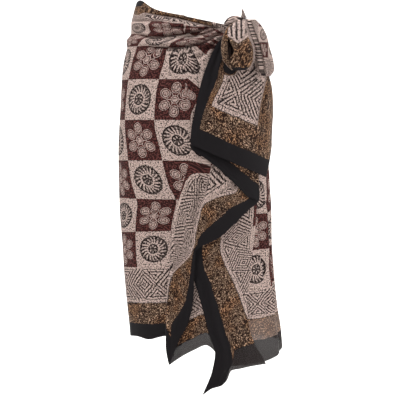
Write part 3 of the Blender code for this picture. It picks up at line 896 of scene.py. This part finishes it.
def drawn_creases(creases, across, down, stretch=1.0):
    """How far creases stand out across a stretch, in mm, tapered at their ends."""
    total = np.zeros(np.shape(across))
    for width, rise, _hidden, *places in creases:
        nearest = np.full(np.shape(across), np.inf)
        share = np.zeros(np.shape(across))
        done = 0.0
        for span, along, away, _below, _step in crease_spans(places, across, down, stretch):
            share = np.where(away < nearest, done + along, share)
            nearest = np.minimum(away, nearest)
            done += span
        total = total + rise * crease_taper(share / done) * bump(nearest, 0, width)
    return total


def pleated_away(creases, across, down):
    """How far the print is shifted beside each trough where cloth is pleated away, in mm."""
    shift_u = np.zeros(np.shape(across))
    shift_v = np.zeros(np.shape(across))
    for _width, _rise, hidden, *places in creases:
        if not hidden:
            continue
        share = np.hypot(across - places[0][0], down - places[0][1]) / math.dist(places[0], places[-1])
        nearest = np.full(np.shape(across), np.inf)
        found_u = np.zeros(np.shape(across))
        found_v = np.zeros(np.shape(across))
        for _span, _along, away, below, step in crease_spans(places, across, down):
            shift = np.tanh(below / TROUGH_TURN) * np.exp(-away / TROUGH_REACH)
            closer = away < nearest
            nearest = np.where(closer, away, nearest)
            found_u = np.where(closer, shift * step[1], found_u)
            found_v = np.where(closer, -shift * step[0], found_v)
        shift_u = shift_u + hidden * crease_taper(share) * found_u
        shift_v = shift_v + hidden * crease_taper(share) * found_v
    return shift_u, shift_v


def arc(points):
    """Length along each row of a grid of points, in mm."""
    step = np.linalg.norm(np.diff(points, axis=1), axis=-1) / MM
    return np.concatenate([np.zeros((len(points), 1)), np.cumsum(step, axis=1)], axis=1)


def away_from(across, down, first, second):
    """Distance above a line seen from the front, and along it from its first end, in mm."""
    length = math.hypot(second[0] - first[0], second[1] - first[1])
    step_x = (second[0] - first[0]) / length
    step_y = (second[1] - first[1]) / length
    away = (across - first[0]) * step_y - (down - first[1]) * step_x
    along = (across - first[0]) * step_x + (down - first[1]) * step_y
    return away, along


def body_places(rows, line):
    """Turn, height and relief of the winding, from its hidden start round to the long fold."""
    roll = line["roll"]
    zero = np.zeros((len(rows), 1))

    # Left front, seen past the hanging end, from the hidden start to the wearer's left side.
    part = 1 - np.linspace(1, 0, SIDE_COLUMNS, endpoint=False)[None, :] ** SIDE_CROWDING
    begin, begin_fall = turn_at(zero + START_X * MM, line["start"] * MM, zero)
    side_turn = begin + (math.pi / 2 - begin) * part
    side_fall = begin_fall + (line["right"] * MM - begin_fall) * part ** SIDE_DROP
    side_out = fold_relief(side_turn, side_fall) + roll * ROLL_AT_LEFT * part

    # Round the back, from the wearer's left side to the right side.
    part = np.linspace(0, 1, BACK_COLUMNS, endpoint=False)[None, :]
    back_turn = math.pi / 2 + math.pi * part + zero
    back_fall = (line["right"] + (line["side"] - line["right"]) * ease(part)) * MM
    kept = ROLL_AT_LEFT + (ROLL_AT_RIGHT - ROLL_AT_LEFT) * part
    back_out = fold_relief(back_turn, back_fall) + roll * kept

    # From the wearer's right side to the foot of the long fold on the front panel.
    part = np.linspace(0, 1, FRONT_COLUMNS)[None, :]
    foot, foot_fall = turn_at(line["foot_x"] * MM, line["foot"] * MM, line["foot_out"] * MM)
    front_turn = -math.pi / 2 + (foot + math.pi / 2) * part
    near_top = ease(1 - rows / TOP_EDGE_ROWS)[:, None]
    near_hem = ease((rows - (len(WRAP) - 1 - HEM_SAG_ROWS)) / HEM_SAG_ROWS)[:, None]
    rise = TOP_EDGE_RISE * near_top * bump(part, TOP_EDGE_PLACE, TOP_EDGE_WIDTH)
    sag = HEM_SAG * near_hem * bump(part, HEM_SAG_PLACE, HEM_SAG_WIDTH)
    front_fall = line["side"] * MM + (foot_fall - line["side"] * MM) * part + (sag - rise) * MM
    front_out = line["foot_out"] * ease(part) + roll * (ROLL_AT_RIGHT + (1 - ROLL_AT_RIGHT) * part)
    front_out = front_out + fold_relief(front_turn, front_fall) * (1 - part)

    turn = np.concatenate([side_turn, back_turn, front_turn + 2 * math.pi], axis=1)
    fall = np.concatenate([side_fall, back_fall, front_fall], axis=1)
    out = np.concatenate([side_out, back_out, front_out], axis=1)
    return turn, fall, out


def panel_print(cloth, across, down, turned):
    """Where the print lies on the front panel: read across it row by row, and straight on the facet."""
    parts = np.linspace(0, 1, PANEL_COLUMNS)
    hidden_u, hidden_v = pleated_away(FRONT_CREASES, across, down)
    u = np.zeros(across.shape)
    for i in range(len(u)):
        stops = (0, cloth["place_1"][i, 0], cloth["place_2"][i, 0], 1)
        u[i] = np.interp(parts, stops, [cloth[k][i, 0] for k in ("crest_u", "u_1", "u_2", "edge_u")])
    v = cloth["v"] + (cloth["v_edge"] - cloth["v"]) * parts
    above, along = away_from(across, down, FACET_LOW, FACET_RIGHT)
    beside_trough, _along = away_from(across, down, FACET_TOP, FACET_LOW)
    facet = (above > 0) & (beside_trough > 0)
    facet_u = FACET_PLACE[0] + FACET_SCALE * above
    facet_v = FACET_PLACE[1] + FACET_SCALE * (FACET_LEAN * above - along)
    return np.where(facet, facet_u, u + hidden_u), np.where(facet, facet_v, v + hidden_v - turned)


def winding():
    """The main winding and its print, from its hidden start round to the free edge."""
    rows = np.linspace(0, 1, WRAP_ROWS)
    rows = (len(WRAP) - 1) * ((1 - ROW_CROWDING) * rows + ROW_CROWDING * rows ** 2)
    line = columns_of(WRAP, WRAP_COLUMNS, rows)
    cloth = columns_of(WRAP_PRINT, PRINT_COLUMNS, rows)

    turn, fall, out = body_places(rows, line)
    degrees = np.degrees(turn)
    out = out + drawn_creases(ROUND_CREASES, degrees, fall / MM, DEGREE_LENGTH)
    on_front = ease((degrees - FRONT_FROM) / FRONT_RUN)
    across, down = seen_from_front(ring(turn, fall, out * MM))
    out = out + on_front * drawn_creases(FRONT_CREASES, across, down)
    body = ring(turn, fall, out * MM)

    # Its print: arc length from the fold back to the hidden start.
    length = arc(body)
    left = (length[:, -1:] - length) / length[:, -1:]
    beside = ease((SIDE_SHIFT_FROM - degrees) / SIDE_SHIFT_RUN)
    above_low = ease((SIDE_SHIFT_LOW - fall / MM) / SIDE_SHIFT_FADE)
    near_top = ease(1 - rows / TOP_TURNED_ROWS)[:, None]
    turned = TOP_TURNED_IN * near_top * ease((degrees - TOP_TURNED_FROM) / TOP_TURNED_RUN)
    hidden_u, hidden_v = pleated_away(FRONT_CREASES, across, down)
    body_u = cloth["foot_u"] + (START_U - cloth["foot_u"]) * left
    body_u = body_u + SIDE_SHIFT_U * beside + on_front * hidden_u
    body_v = cloth["v"] + SIDE_SHIFT_V * beside * above_low - turned + on_front * hidden_v

    # From the crest of the long fold to the free edge.
    part = np.linspace(0, 1, PANEL_COLUMNS)[None, :]
    crest_x = line["foot_x"] + CREST_STEP
    across = crest_x + (line["edge_x"] - crest_x) * part
    down = line["crest"] + (line["edge"] - line["crest"]) * part
    valley = np.interp(rows, VALLEY_ROWS, (0, 1, 1, 0))[:, None] * VALLEY_DEPTH
    out = line["crest_out"] + (line["edge_out"] - line["crest_out"]) * part + line["roll"] * (1 - part)
    out = out - valley * np.sin(math.pi * np.clip(part / VALLEY_WIDTH, 0, 1))
    out = out + drawn_creases(FRONT_CREASES, across, down)
    panel = seen(across, down, out)
    panel_u, panel_v = panel_print(cloth, across, down, turned[:, -1:])

    # The edge of the fold, which rolls over a little beyond its foot.
    part = np.linspace(0, 1, FOLD_COLUMNS + 2)[None, 1:-1]
    start = body[:, -1:, :]
    fold = start + (panel[:, :1, :] - start) * part[..., None]
    rolled = MM * np.sin(math.pi * part) * ease((rows - FOLD_STARTS) / FOLD_GROWS)[:, None]
    fold[..., 0] -= FOLD_ROLL[0] * rolled
    fold[..., 1] -= FOLD_ROLL[1] * rolled
    fold_u = panel_u[:, :1] + FOLD_HIDES * (1 - part)
    fold_v = panel_v[:, :1] + 0 * part

    points = np.concatenate([body, fold, panel], axis=1)
    u = np.concatenate([body_u, fold_u, panel_u], axis=1)
    v = np.concatenate([body_v, fold_v, panel_v], axis=1)
    return points, u, v, (u > SINGLE_FROM) & (v < GOLD_BAND)


def hem_line(hem, part):
    """How far down a lower edge is at a part of the way across, in mm."""
    return smooth(part, [place[0] for place in hem], [place[1] for place in hem])


def strip(table, grid, hem=None, creases=()):
    """A stretch between a left and a right edge, with an uneven lower edge if one is given."""
    rows, columns = grid
    place = np.linspace(0, len(table) - 1, rows)[:, None]
    line = columns_of(table, STRIP_COLUMNS, place[:, 0])
    part = np.linspace(0, 1, columns)[None, :]
    across = line["left_x"] + (line["right_x"] - line["left_x"]) * part
    down = line["left"] + (line["right"] - line["left"]) * part
    if hem:
        straight = table[-1][1] + (table[-1][3] - table[-1][1]) * part
        reach = ease((place - (len(table) - 1 - HEM_ROWS)) / HEM_ROWS)
        down = down + (hem_line(hem, part) - straight) * reach
    out = np.zeros((rows, columns))
    for i in range(rows):
        outs = [line[name][i, 0] for name in ("left_out", "mid_out", "right_out")]
        out[i] = smooth(part[0], (0.0, MID_PLACE, 1.0), outs)
    for middle, width, deep, first, last in creases:
        reach = ease((place - first) / CREASE_ROWS) * ease((last - place) / CREASE_ROWS)
        out = out - deep * reach * bump(part, middle, width)
    return seen(across, down, out), across, down, place, part


def under_corner():
    """The end of the cloth that hangs out from under the front panel, and its print."""
    points, _across, down, place, part = strip(UNDER_END, UNDER_GRID, UNDER_HEM, UNDER_CREASES)
    cloth = columns_of(UNDER_PRINT, UNDER_PRINT_COLUMNS, place[:, 0])
    u = CUT_LENGTH - cloth["across"] * part
    v = cloth["v_left"] + (cloth["v_right"] - cloth["v_left"]) * part
    near_hem = ease((place - UNDER_HEM_START[0]) / UNDER_HEM_RUN[0])
    near_hem = near_hem * ease((part - UNDER_HEM_START[1]) / UNDER_HEM_RUN[1])
    from_hem = np.maximum(hem_line(UNDER_HEM, part) - down, 0) * UNDER_HEM_PRINT
    v = v + (from_hem - v) * near_hem
    return points, u, v, (v < BLACK_BAND) & (part > UNDER_SINGLE_FROM)


def inner_lap():
    """The short stretch that shows at the hem between the two hanging corners, and its print."""
    points, across, down, _place, part = strip(INNER_LAP, INNER_GRID, INNER_HEM, INNER_CREASES)
    u = INNER_PRINT_U + INNER_PRINT_SCALE * (across - INNER_PRINT_X)
    v = np.maximum(hem_line(INNER_HEM, part) - down, 0) * INNER_PRINT_SCALE
    return points, u, v, v < BLACK_BAND


def turned_border():
    """The border of the front panel, turned over outwards along a fold, and its print."""
    points, across, down, _place, _part = strip(FRONT_FLAP, FLAP_GRID, None, FLAP_CREASES)
    away, along = away_from(across, down, *FLAP_EDGE)
    return points, np.maximum(away, 0), FLAP_CORNER_V - along


def tied_corner():
    """The tied corner that falls over the front, and its print with the border on two sides."""
    points, across, down, place, part = strip(TAIL, TAIL_GRID, None, TAIL_CREASES)
    cloth = columns_of(TAIL_PRINT, TAIL_PRINT_COLUMNS, place[:, 0])
    length = arc(points)
    in_side = np.zeros(across.shape)
    for i in range(len(place)):
        stops = [0, *(cloth[name][i, 0] for name in TAIL_PRINT_COLUMNS)]
        in_side[i] = np.interp(part[0], stops, [0, BLACK_BAND, GOLD_BAND, TAIL_WHITE_END])
        in_side[i] += np.maximum(length[i] - np.interp(stops[-1], part[0], length[i]), 0)
    patch_x = (across - TAIL_PATCH[0]) / TAIL_PATCH_HALF[0]
    patch_y = (down - TAIL_PATCH[1]) / TAIL_PATCH_HALF[1]
    in_side = in_side * ease((np.hypot(patch_x, patch_y) - TAIL_PATCH_FROM) / TAIL_PATCH_RUN)
    away, _along = away_from(across, down, *TAIL_EDGE)
    in_end = away * TAIL_EDGE_PRINT
    # Beyond the white band the way in goes to and fro within the gold, so that it isn't stretched.
    gold_width = GOLD_BAND - BLACK_BAND - 2 * TAIL_GOLD_MARGIN
    folded = (in_end - BLACK_BAND) % (2 * gold_width)
    held_in = BLACK_BAND + TAIL_GOLD_MARGIN + np.minimum(folded, 2 * gold_width - folded)
    beyond = ease((in_side - TAIL_GOLD_FROM) / TAIL_GOLD_RUN) * (in_end > BLACK_BAND)
    in_end = in_end + (held_in - in_end) * beyond
    return points, CUT_LENGTH - in_side, CUT_WIDTH - np.maximum(in_end, 0)


def loop(table, lip, groove=None):
    """A rolled loop of the bow: a sheet turned nearly once round, one lip inside the other."""
    rows, columns = LOOP_GRID
    line = columns_of(table, ROLL_COLUMNS, np.linspace(0, len(table) - 1, rows))
    part = np.linspace(0, 1, columns)[None, :]
    angle = np.radians(lip + (360 - line["open"]) * part)
    size = 1 - LIP_STEP * (1 - part)
    reach = ease(line["deep"] / FULL_DEPTH)
    pleat = LOOP_PLEAT * np.cos(LOOP_PLEATS * angle) * reach
    pleat = pleat + FINE_PLEAT * np.sin(FINE_PLEATS * angle + FINE_DRIFT * line["down"]) * reach
    if groove:
        pleat = pleat - GROOVE_DEPTH * reach * bump(angle, math.radians(groove), GROOVE_TURN)
    across = line["x"] + (line["half"] * size + pleat) * np.cos(angle)
    out = line["out"] + (line["deep"] * size + pleat) * np.sin(angle)
    return seen(across, line["down"] + 0 * part, out), angle


def left_loop():
    """The large loop and its print: white above and gold below on its face, gold round its side."""
    points, angle = loop(LOOP_LEFT, LIP_LEFT)
    across, down = seen_from_front(points)
    turned = (angle - angle[:, :1]) / (2 * math.pi)
    face = ease((turned - LOOP_FACE_FROM) / LOOP_FACE_RUN)
    face_u = LOOP_TOP_U - LOOP_FALL * down - LOOP_SPREAD * np.abs(across - LOOP_MIDDLE)
    face_u = np.maximum(face_u, LOOP_LOW_U - LOOP_LOW_FALL * down)
    u = np.interp(turned, LOOP_TURNS, LOOP_TURN_U)
    u = u + (face_u - u) * face
    slant = LOOP_SLANT * (across - LOOP_SLANT_FROM)
    face_v = LOOP_CROSS_V - CROSS_LEAN * np.abs(u - BAND_MIDDLE) - slant
    v = LOOP_BACK_V + LOOP_BACK_SCALE * down
    return points, u, v + (face_v - v) * face


def right_loop():
    """The narrow loop and its print, on its face and on the roll beyond the groove."""
    points, angle = loop(LOOP_RIGHT, LIP_BACK, GROOVE_AT)
    across, down = seen_from_front(points)
    roll = ease((np.degrees(angle) - GROOVE_AT + GROOVE_BLEND / 2) / GROOVE_BLEND)
    u = WHITE_BAND + (RIGHT_DOWN - down) * np.where(down < RIGHT_DOWN, *RIGHT_STEPS)
    v = RIGHT_FACE_V + RIGHT_FACE_STEP * (across - RIGHT_FACE_X)
    u = u + (RIGHT_ROLL_U + RIGHT_ROLL_LEAN * down - u) * roll
    v = v + (RIGHT_ROLL_V + LOOP_BACK_SCALE * down - v) * roll
    return points, u, v


def knot_roll():
    """The gathered roll that holds the bow, lying level across the front, and its print."""
    rows, columns = KNOT_GRID
    line = columns_of(KNOT, KNOT_COLUMNS, np.linspace(0, len(KNOT) - 1, rows))
    part = np.linspace(0, 1, columns)[None, :]
    angle = np.radians(KNOT_LIP + 360 * part)
    size = 1 - LIP_STEP * (1 - part)
    pleat = KNOT_PLEAT * np.sin(KNOT_PLEATS * angle)
    pleat = pleat + KNOT_FINE_PLEAT * np.sin(KNOT_FINE_PLEATS * angle + line["x"] / KNOT_DRIFT)
    down = line["down"] - (line["half"] * size + pleat) * np.cos(angle - math.pi / 2)
    out = line["out"] + (line["deep"] * size + pleat) * np.sin(angle - math.pi / 2)
    points = seen(line["x"] + 0 * part, down, out)
    across, _down = seen_from_front(points)
    u = KNOT_PRINT[0] + KNOT_PRINT_STEPS[0] * across + KNOT_WAVE * np.sin(KNOT_WAVES * angle)
    return points, u, KNOT_PRINT[1] + KNOT_PRINT_STEPS[1] * angle


def upright_tip():
    """The small upright corner above the knot, and its print."""
    rows, columns = TIP_GRID
    place = np.linspace(0, len(TIP) - 1, rows)
    line = columns_of(TIP, TIP_COLUMNS, place)
    part = np.linspace(-1, 1, columns)[None, :]
    out = line["out"] - TIP_BEND * part * part
    points = seen(line["x"] + line["half"] * part, line["down"] + 0 * part, out)
    u = TIP_PRINT[0] + TIP_PRINT_STEPS[0] * part
    return points, u, TIP_PRINT[1] + TIP_PRINT_STEPS[1] * place[:, None]


def add_node(tree, kind, inputs=(), output=0, **settings):
    """Adds a node with its settings, sets or links its inputs, and gives back one output if any."""
    made = tree.nodes.new(kind)
    for key, value in settings.items():
        setattr(made, key, value)
    pairs = inputs.items() if isinstance(inputs, dict) else enumerate(inputs)
    for key, value in pairs:
        if isinstance(value, bpy.types.NodeSocket):
            tree.links.new(value, made.inputs[key])
        else:
            made.inputs[key].default_value = value
    return made.outputs[output] if len(made.outputs) else None


def voile(name, colours, fade, painted_backlight, opacity):
    """Printed cotton voile: plain-woven, batik-printed, matt, with a faint bloom of loose fibres.

    Cotton's IOR is about 1.53. The open weave scatters the light, so the cloth hardly shines.
    """
    material = bpy.data.materials.new(name)
    material.use_nodes = True
    tree = material.node_tree
    tree.nodes.clear()
    cloth = add_node(tree, "ShaderNodeUVMap", uv_map="cloth")
    split = add_node(tree, "ShaderNodeSeparateXYZ", [cloth])
    # painted_backlight is painted light: the share by which the print is mixed towards white where a
    # single layer has the light behind it.
    made = {"u_metres": split, "v_metres": split.node.outputs[1], "fade": fade, "painted_backlight": painted_backlight}
    for result, size, detail, distortion in PRINT_NOISES:
        inputs = {"Vector": cloth, "Scale": 1000 / size, "Detail": detail, "Distortion": distortion}
        made[result] = add_node(tree, "ShaderNodeTexNoise", inputs)
    for result, operation, *inputs in PRINT_STEPS:
        values = [made[i] if isinstance(i, str) else float(i) for i in inputs]
        made[result] = add_node(tree, "ShaderNodeMath", values, operation=operation)
    made.update({key: [*value, 1.0] for key, value in colours.items()})
    for result, *inputs in PRINT_BLENDS:
        values = dict(zip(MIX_INPUTS, [made[i] for i in inputs]))
        made[result] = add_node(tree, "ShaderNodeMix", values, MIX_OUTPUT, data_type="RGBA")
    surface = add_node(tree, "ShaderNodeBsdfPrincipled", {
        "Base Color": made["faded"],
        "Roughness": 0.85,
        "IOR": 1.53,
        "Specular IOR Level": 0.12,
        "Sheen Weight": 0.02,
        "Alpha": opacity,
    })
    add_node(tree, "ShaderNodeOutputMaterial", [surface])
    return material


def voile_finishes(context):
    """The four finishes of the cloth: printed face and its reverse, each doubled and single, the single
    ones with painted backlight that makes them paler, as if lit from behind.
    """
    found = [bpy.data.materials.get(finish[0]) for finish in VOILE_FINISHES]
    if all(found):
        return found
    chosen = context.scene.sarong_colours
    doubled = {name: list(getattr(chosen, name)) for name in SarongColours.__annotations__}
    # Painted backlight: the black of a single layer is painted a little towards the white, for light
    # shining through it.
    single = dict(doubled)
    single["edge_black"] = [
        dark + (pale - dark) * SINGLE_BLACK_PAINTED_BACKLIGHT for dark, pale in zip(chosen.edge_black, chosen.white)]
    clear = context.scene.sarong_sizes.single_opacity
    made = []
    for name, fade, is_single in VOILE_FINISHES:
        if is_single:
            made.append(voile(name, single, fade, SINGLE_PAINTED_BACKLIGHT, clear))
        else:
            made.append(voile(name, doubled, fade, 0.0, 1.0))
    return made


def cloth_piece(context, name, node, points, u, v, single=None, outward=True):
    """One stretch of cloth: a thin shell about a grid of points, with its place on the cut cloth.

    Faces marked single get the finishes of a single layer, painted paler as if lit from behind, and
    outward says which way the grid faces.
    """
    rows, columns = points.shape[:2]
    place = np.arange(rows * columns).reshape(rows, columns)
    a, b = place[:-1, :-1], place[:-1, 1:]
    c, d = place[1:, 1:], place[1:, :-1]
    order = (a, d, c, b) if outward else (a, b, c, d)
    faces = np.stack([o.ravel() for o in order], axis=1)
    mesh = bpy.data.meshes.new(name)
    mesh.from_pydata(points.reshape(-1, 3).tolist(), [], faces.tolist())
    layer = mesh.uv_layers.new(name="cloth")
    at = np.stack([np.broadcast_to(u, (rows, columns)), np.broadcast_to(v, (rows, columns))], axis=-1)
    at = (at.reshape(-1, 2) * MM)[faces.ravel()]
    layer.data.foreach_set("uv", at.astype(np.float32).ravel())
    for material in voile_finishes(context):
        mesh.materials.append(material)
    if single is not None:
        cover = np.broadcast_to(single, (rows, columns)).ravel()
        slots = np.where(cover[faces].all(axis=1), 2, 0)
        mesh.polygons.foreach_set("material_index", slots.astype(np.int32))
    mesh.polygons.foreach_set("use_smooth", [True] * len(faces))
    mesh.update()
    piece = bpy.data.objects.new(name, mesh)
    context.scene.collection.objects.link(piece)
    shell = piece.modifiers.new("cloth thickness", "SOLIDIFY")
    shell.thickness = context.scene.sarong_sizes.thickness
    shell.offset = 0.0
    shell.material_offset = 1
    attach(piece, "root")
    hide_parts(node)
    return piece


class SarongSizes(bpy.types.PropertyGroup):
    thickness: bpy.props.FloatProperty(
        name="Cloth thickness", description="Thickness of the shell that stands for the voile",
        default=0.5 * MM, unit="LENGTH", precision=4)
    single_opacity: bpy.props.FloatProperty(
        name="Single layer opacity", description="How much a single layer of black voile hides",
        default=0.85, min=0.0, max=1.0, subtype="FACTOR")


class SarongColours(bpy.types.PropertyGroup):
    edge_black: bpy.props.FloatVectorProperty(
        name="Edge black", description="Black voile of the outer border",
        default=linear("#151214"), subtype="COLOR", min=0, max=1)
    line_black: bpy.props.FloatVectorProperty(
        name="Line black", description="Dark lines of the print",
        default=linear("#140c0d"), subtype="COLOR", min=0, max=1)
    maroon: bpy.props.FloatVectorProperty(
        name="Maroon", description="Ground of the flower squares",
        default=linear("#210e0d"), subtype="COLOR", min=0, max=1)
    red: bpy.props.FloatVectorProperty(
        name="Red", description="Specks in the ground of the flower squares",
        default=linear("#5f3430"), subtype="COLOR", min=0, max=1)
    white: bpy.props.FloatVectorProperty(
        name="White", description="Pale pinkish grey ground of the print",
        default=linear("#bca69d"), subtype="COLOR", min=0, max=1)
    gold_dark: bpy.props.FloatVectorProperty(
        name="Gold ground", description="Dark brown between the gold strokes",
        default=linear("#20120b"), subtype="COLOR", min=0, max=1)
    gold_light: bpy.props.FloatVectorProperty(
        name="Gold", description="Golden brown strokes of the speckled band",
        default=linear("#c8a488"), subtype="COLOR", min=0, max=1)
    gold_warm: bpy.props.FloatVectorProperty(
        name="Warm gold", description="Gold strokes where the dye has taken warmer",
        default=linear("#c9966f"), subtype="COLOR", min=0, max=1)
    reverse: bpy.props.FloatVectorProperty(
        name="Reverse", description="Colour that the print fades to on its reverse",
        default=linear("#6b605c"), subtype="COLOR", min=0, max=1)


class SarongStudio(bpy.types.PropertyGroup):
    key_power: bpy.props.FloatProperty(
        name="Key light", description="Power of the soft light from the upper left", default=55.0,
        unit="POWER")
    fill_power: bpy.props.FloatProperty(
        name="Fill light", description="Power of the soft light from the front", default=10.0,
        unit="POWER")
    side_power: bpy.props.FloatProperty(
        name="Side light", description="Power of the soft light from the right", default=34.0,
        unit="POWER")
    wall_power: bpy.props.FloatProperty(
        name="Wall light", description="Power of the light on the wall behind", default=150.0,
        unit="POWER")
    world_strength: bpy.props.FloatProperty(
        name="Surroundings", description="Brightness of the pale surroundings", default=0.12)
    floor_colour: bpy.props.FloatVectorProperty(
        name="Floor", description="Colour of the floor and the wall",
        default=linear("#f4f3f1"), subtype="COLOR", min=0, max=1)


class SARONG_OT_winding(bpy.types.Operator):
    """Builds the main winding of the cloth, gathered at the waist"""
    bl_idname = "sarong.winding"
    bl_label = "Main winding"

    def execute(self, context):
        piece = cloth_piece(context, "winding", "wrap", *winding())
        return {"FINISHED"}


class SARONG_OT_corners(bpy.types.Operator):
    """Builds the stretches that hang over and under the front panel"""
    bl_idname = "sarong.corners"
    bl_label = "Hanging corners"

    def execute(self, context):
        piece = cloth_piece(context, "under_corner", "under_end", *under_corner())
        piece = cloth_piece(context, "inner_lap_cloth", "inner_lap", *inner_lap())
        piece = cloth_piece(context, "turned_border", "front_flap", *turned_border())
        piece = cloth_piece(context, "tied_corner", "tail", *tied_corner())
        return {"FINISHED"}


class SARONG_OT_bow(bpy.types.Operator):
    """Builds the two loops, the knot and its small tip"""
    bl_idname = "sarong.bow"
    bl_label = "Bow"

    def execute(self, context):
        piece = cloth_piece(context, "left_loop", "bow_loop_left", *left_loop(), outward=False)
        piece = cloth_piece(context, "right_loop", "bow_loop_right", *right_loop(), outward=False)
        piece = cloth_piece(context, "knot_roll", "knot", *knot_roll(), outward=False)
        piece = cloth_piece(context, "upright_tip", "knot_tip", *upright_tip())
        return {"FINISHED"}


def aim_at(thing, place, target):
    """Puts a light or the camera at a place, looking at a target."""
    place = Vector(place)
    thing.location = place
    thing.rotation_euler = (Vector(target) - place).to_track_quat("-Z", "Y").to_euler()


def studio_sweep(context, colour):
    """Matt background paper: a floor that sweeps up into a wall behind, with no corner between."""
    profile = [(SWEEP_FRONT, SWEEP_FLOOR), (SWEEP_BEND, SWEEP_FLOOR)]
    for step in range(1, SWEEP_STEPS + 1):
        bend = step * math.pi / 2 / SWEEP_STEPS
        rise = SWEEP_RADIUS * (1 - math.cos(bend))
        profile.append((SWEEP_BEND + SWEEP_RADIUS * math.sin(bend), SWEEP_FLOOR + rise))
    profile.append((SWEEP_BEND + SWEEP_RADIUS, SWEEP_TOP))
    points = [(x, y, z) for y, z in profile for x in (-SWEEP_HALF, SWEEP_HALF)]
    faces = [(2 * i, 2 * i + 1, 2 * i + 3, 2 * i + 2) for i in range(len(profile) - 1)]
    mesh = bpy.data.meshes.new("studio_sweep")
    mesh.from_pydata(points, [], faces)
    mesh.polygons.foreach_set("use_smooth", [True] * len(faces))
    sweep = bpy.data.objects.new("studio_sweep", mesh)
    context.scene.collection.objects.link(sweep)
    paper = bpy.data.materials.new("matt_background_paper")
    paper.use_nodes = True
    surface = paper.node_tree.nodes["Principled BSDF"]
    surface.inputs["Base Color"].default_value = [*colour, 1.0]
    surface.inputs["Roughness"].default_value = 0.95
    mesh.materials.append(paper)


class SARONG_OT_studio(bpy.types.Operator):
    """Builds the pale floor and wall, the soft lights and the camera"""
    bl_idname = "sarong.studio"
    bl_label = "Studio"

    def execute(self, context):
        scene = context.scene
        chosen = scene.sarong_studio
        studio_sweep(context, chosen.floor_colour)

        # Name, place, aim, power in watts and size in metres.
        lights = (
            ("key_light", (-1.4, -1.65, 1.8), (0.0, 0.0, -0.45), chosen.key_power, 0.7),
            ("fill_light", (1.0, -3.2, 0.2), (0.0, 0.0, -0.45), chosen.fill_power, 1.6),
            ("side_light", (2.6, -0.6, 0.2), (0.0, 0.0, -0.5), chosen.side_power, 1.2),
            ("floor_light", (0.0, 0.7, 2.4), (0.0, 2.4, -0.9), chosen.wall_power, 4.0),
            ("wall_light", (0.0, 2.6, 3.0), (0.0, 4.8, -0.7), 1.6 * chosen.wall_power, 4.0),
        )
        for name, place, aim, strength, size in lights:
            lamp = bpy.data.lights.new(name, "AREA")
            lamp.energy = strength
            lamp.size = size
            thing = bpy.data.objects.new(name, lamp)
            scene.collection.objects.link(thing)
            aim_at(thing, place, aim)

        world = bpy.data.worlds.new("pale_surroundings")
        world.use_nodes = True
        sky = world.node_tree.nodes["Background"]
        sky.inputs["Color"].default_value = (1.0, 1.0, 1.0, 1.0)
        sky.inputs["Strength"].default_value = chosen.world_strength
        scene.world = world
        scene.view_settings.view_transform = "Standard"

        camera = bpy.data.cameras.new("front_camera")
        camera.lens = LENS
        camera.sensor_width = SENSOR
        viewer = bpy.data.objects.new("front_camera", camera)
        scene.collection.objects.link(viewer)
        aim_at(viewer, (0.0, -VIEW_DISTANCE, VIEW_HEIGHT), CAMERA_AIM)
        scene.camera = viewer
        return {"FINISHED"}


class SARONG_PT_panel(bpy.types.Panel):
    """Sizes, colours and parts of the sarong"""
    bl_idname = "SARONG_PT_panel"
    bl_label = "Sarong"
    bl_space_type = "VIEW_3D"
    bl_region_type = "UI"
    bl_category = "Sarong"

    def draw(self, context):
        for group in (context.scene.sarong_sizes, context.scene.sarong_colours,
                      context.scene.sarong_studio):
            box = self.layout.box()
            for name in group.__annotations__:
                box.prop(group, name)
        for operator in OPERATORS:
            self.layout.operator(operator.bl_idname)


OPERATORS = (SARONG_OT_winding, SARONG_OT_corners, SARONG_OT_bow, SARONG_OT_studio)
GROUPS = (
    ("sarong_sizes", SarongSizes),
    ("sarong_colours", SarongColours),
    ("sarong_studio", SarongStudio),
)


def register():
    for name, group in GROUPS:
        bpy.utils.register_class(group)
        setattr(bpy.types.Scene, name, bpy.props.PointerProperty(type=group))
    for item in (*OPERATORS, SARONG_PT_panel):
        bpy.utils.register_class(item)


def unregister():
    for item in (SARONG_PT_panel, *reversed(OPERATORS)):
        bpy.utils.unregister_class(item)
    for name, group in reversed(GROUPS):
        delattr(bpy.types.Scene, name)
        bpy.utils.unregister_class(group)


def main():
    register()
    for operator in OPERATORS:
        group, name = operator.bl_idname.split(".")
        getattr(getattr(bpy.ops, group), name)()


if __name__ == "__main__":
    main()
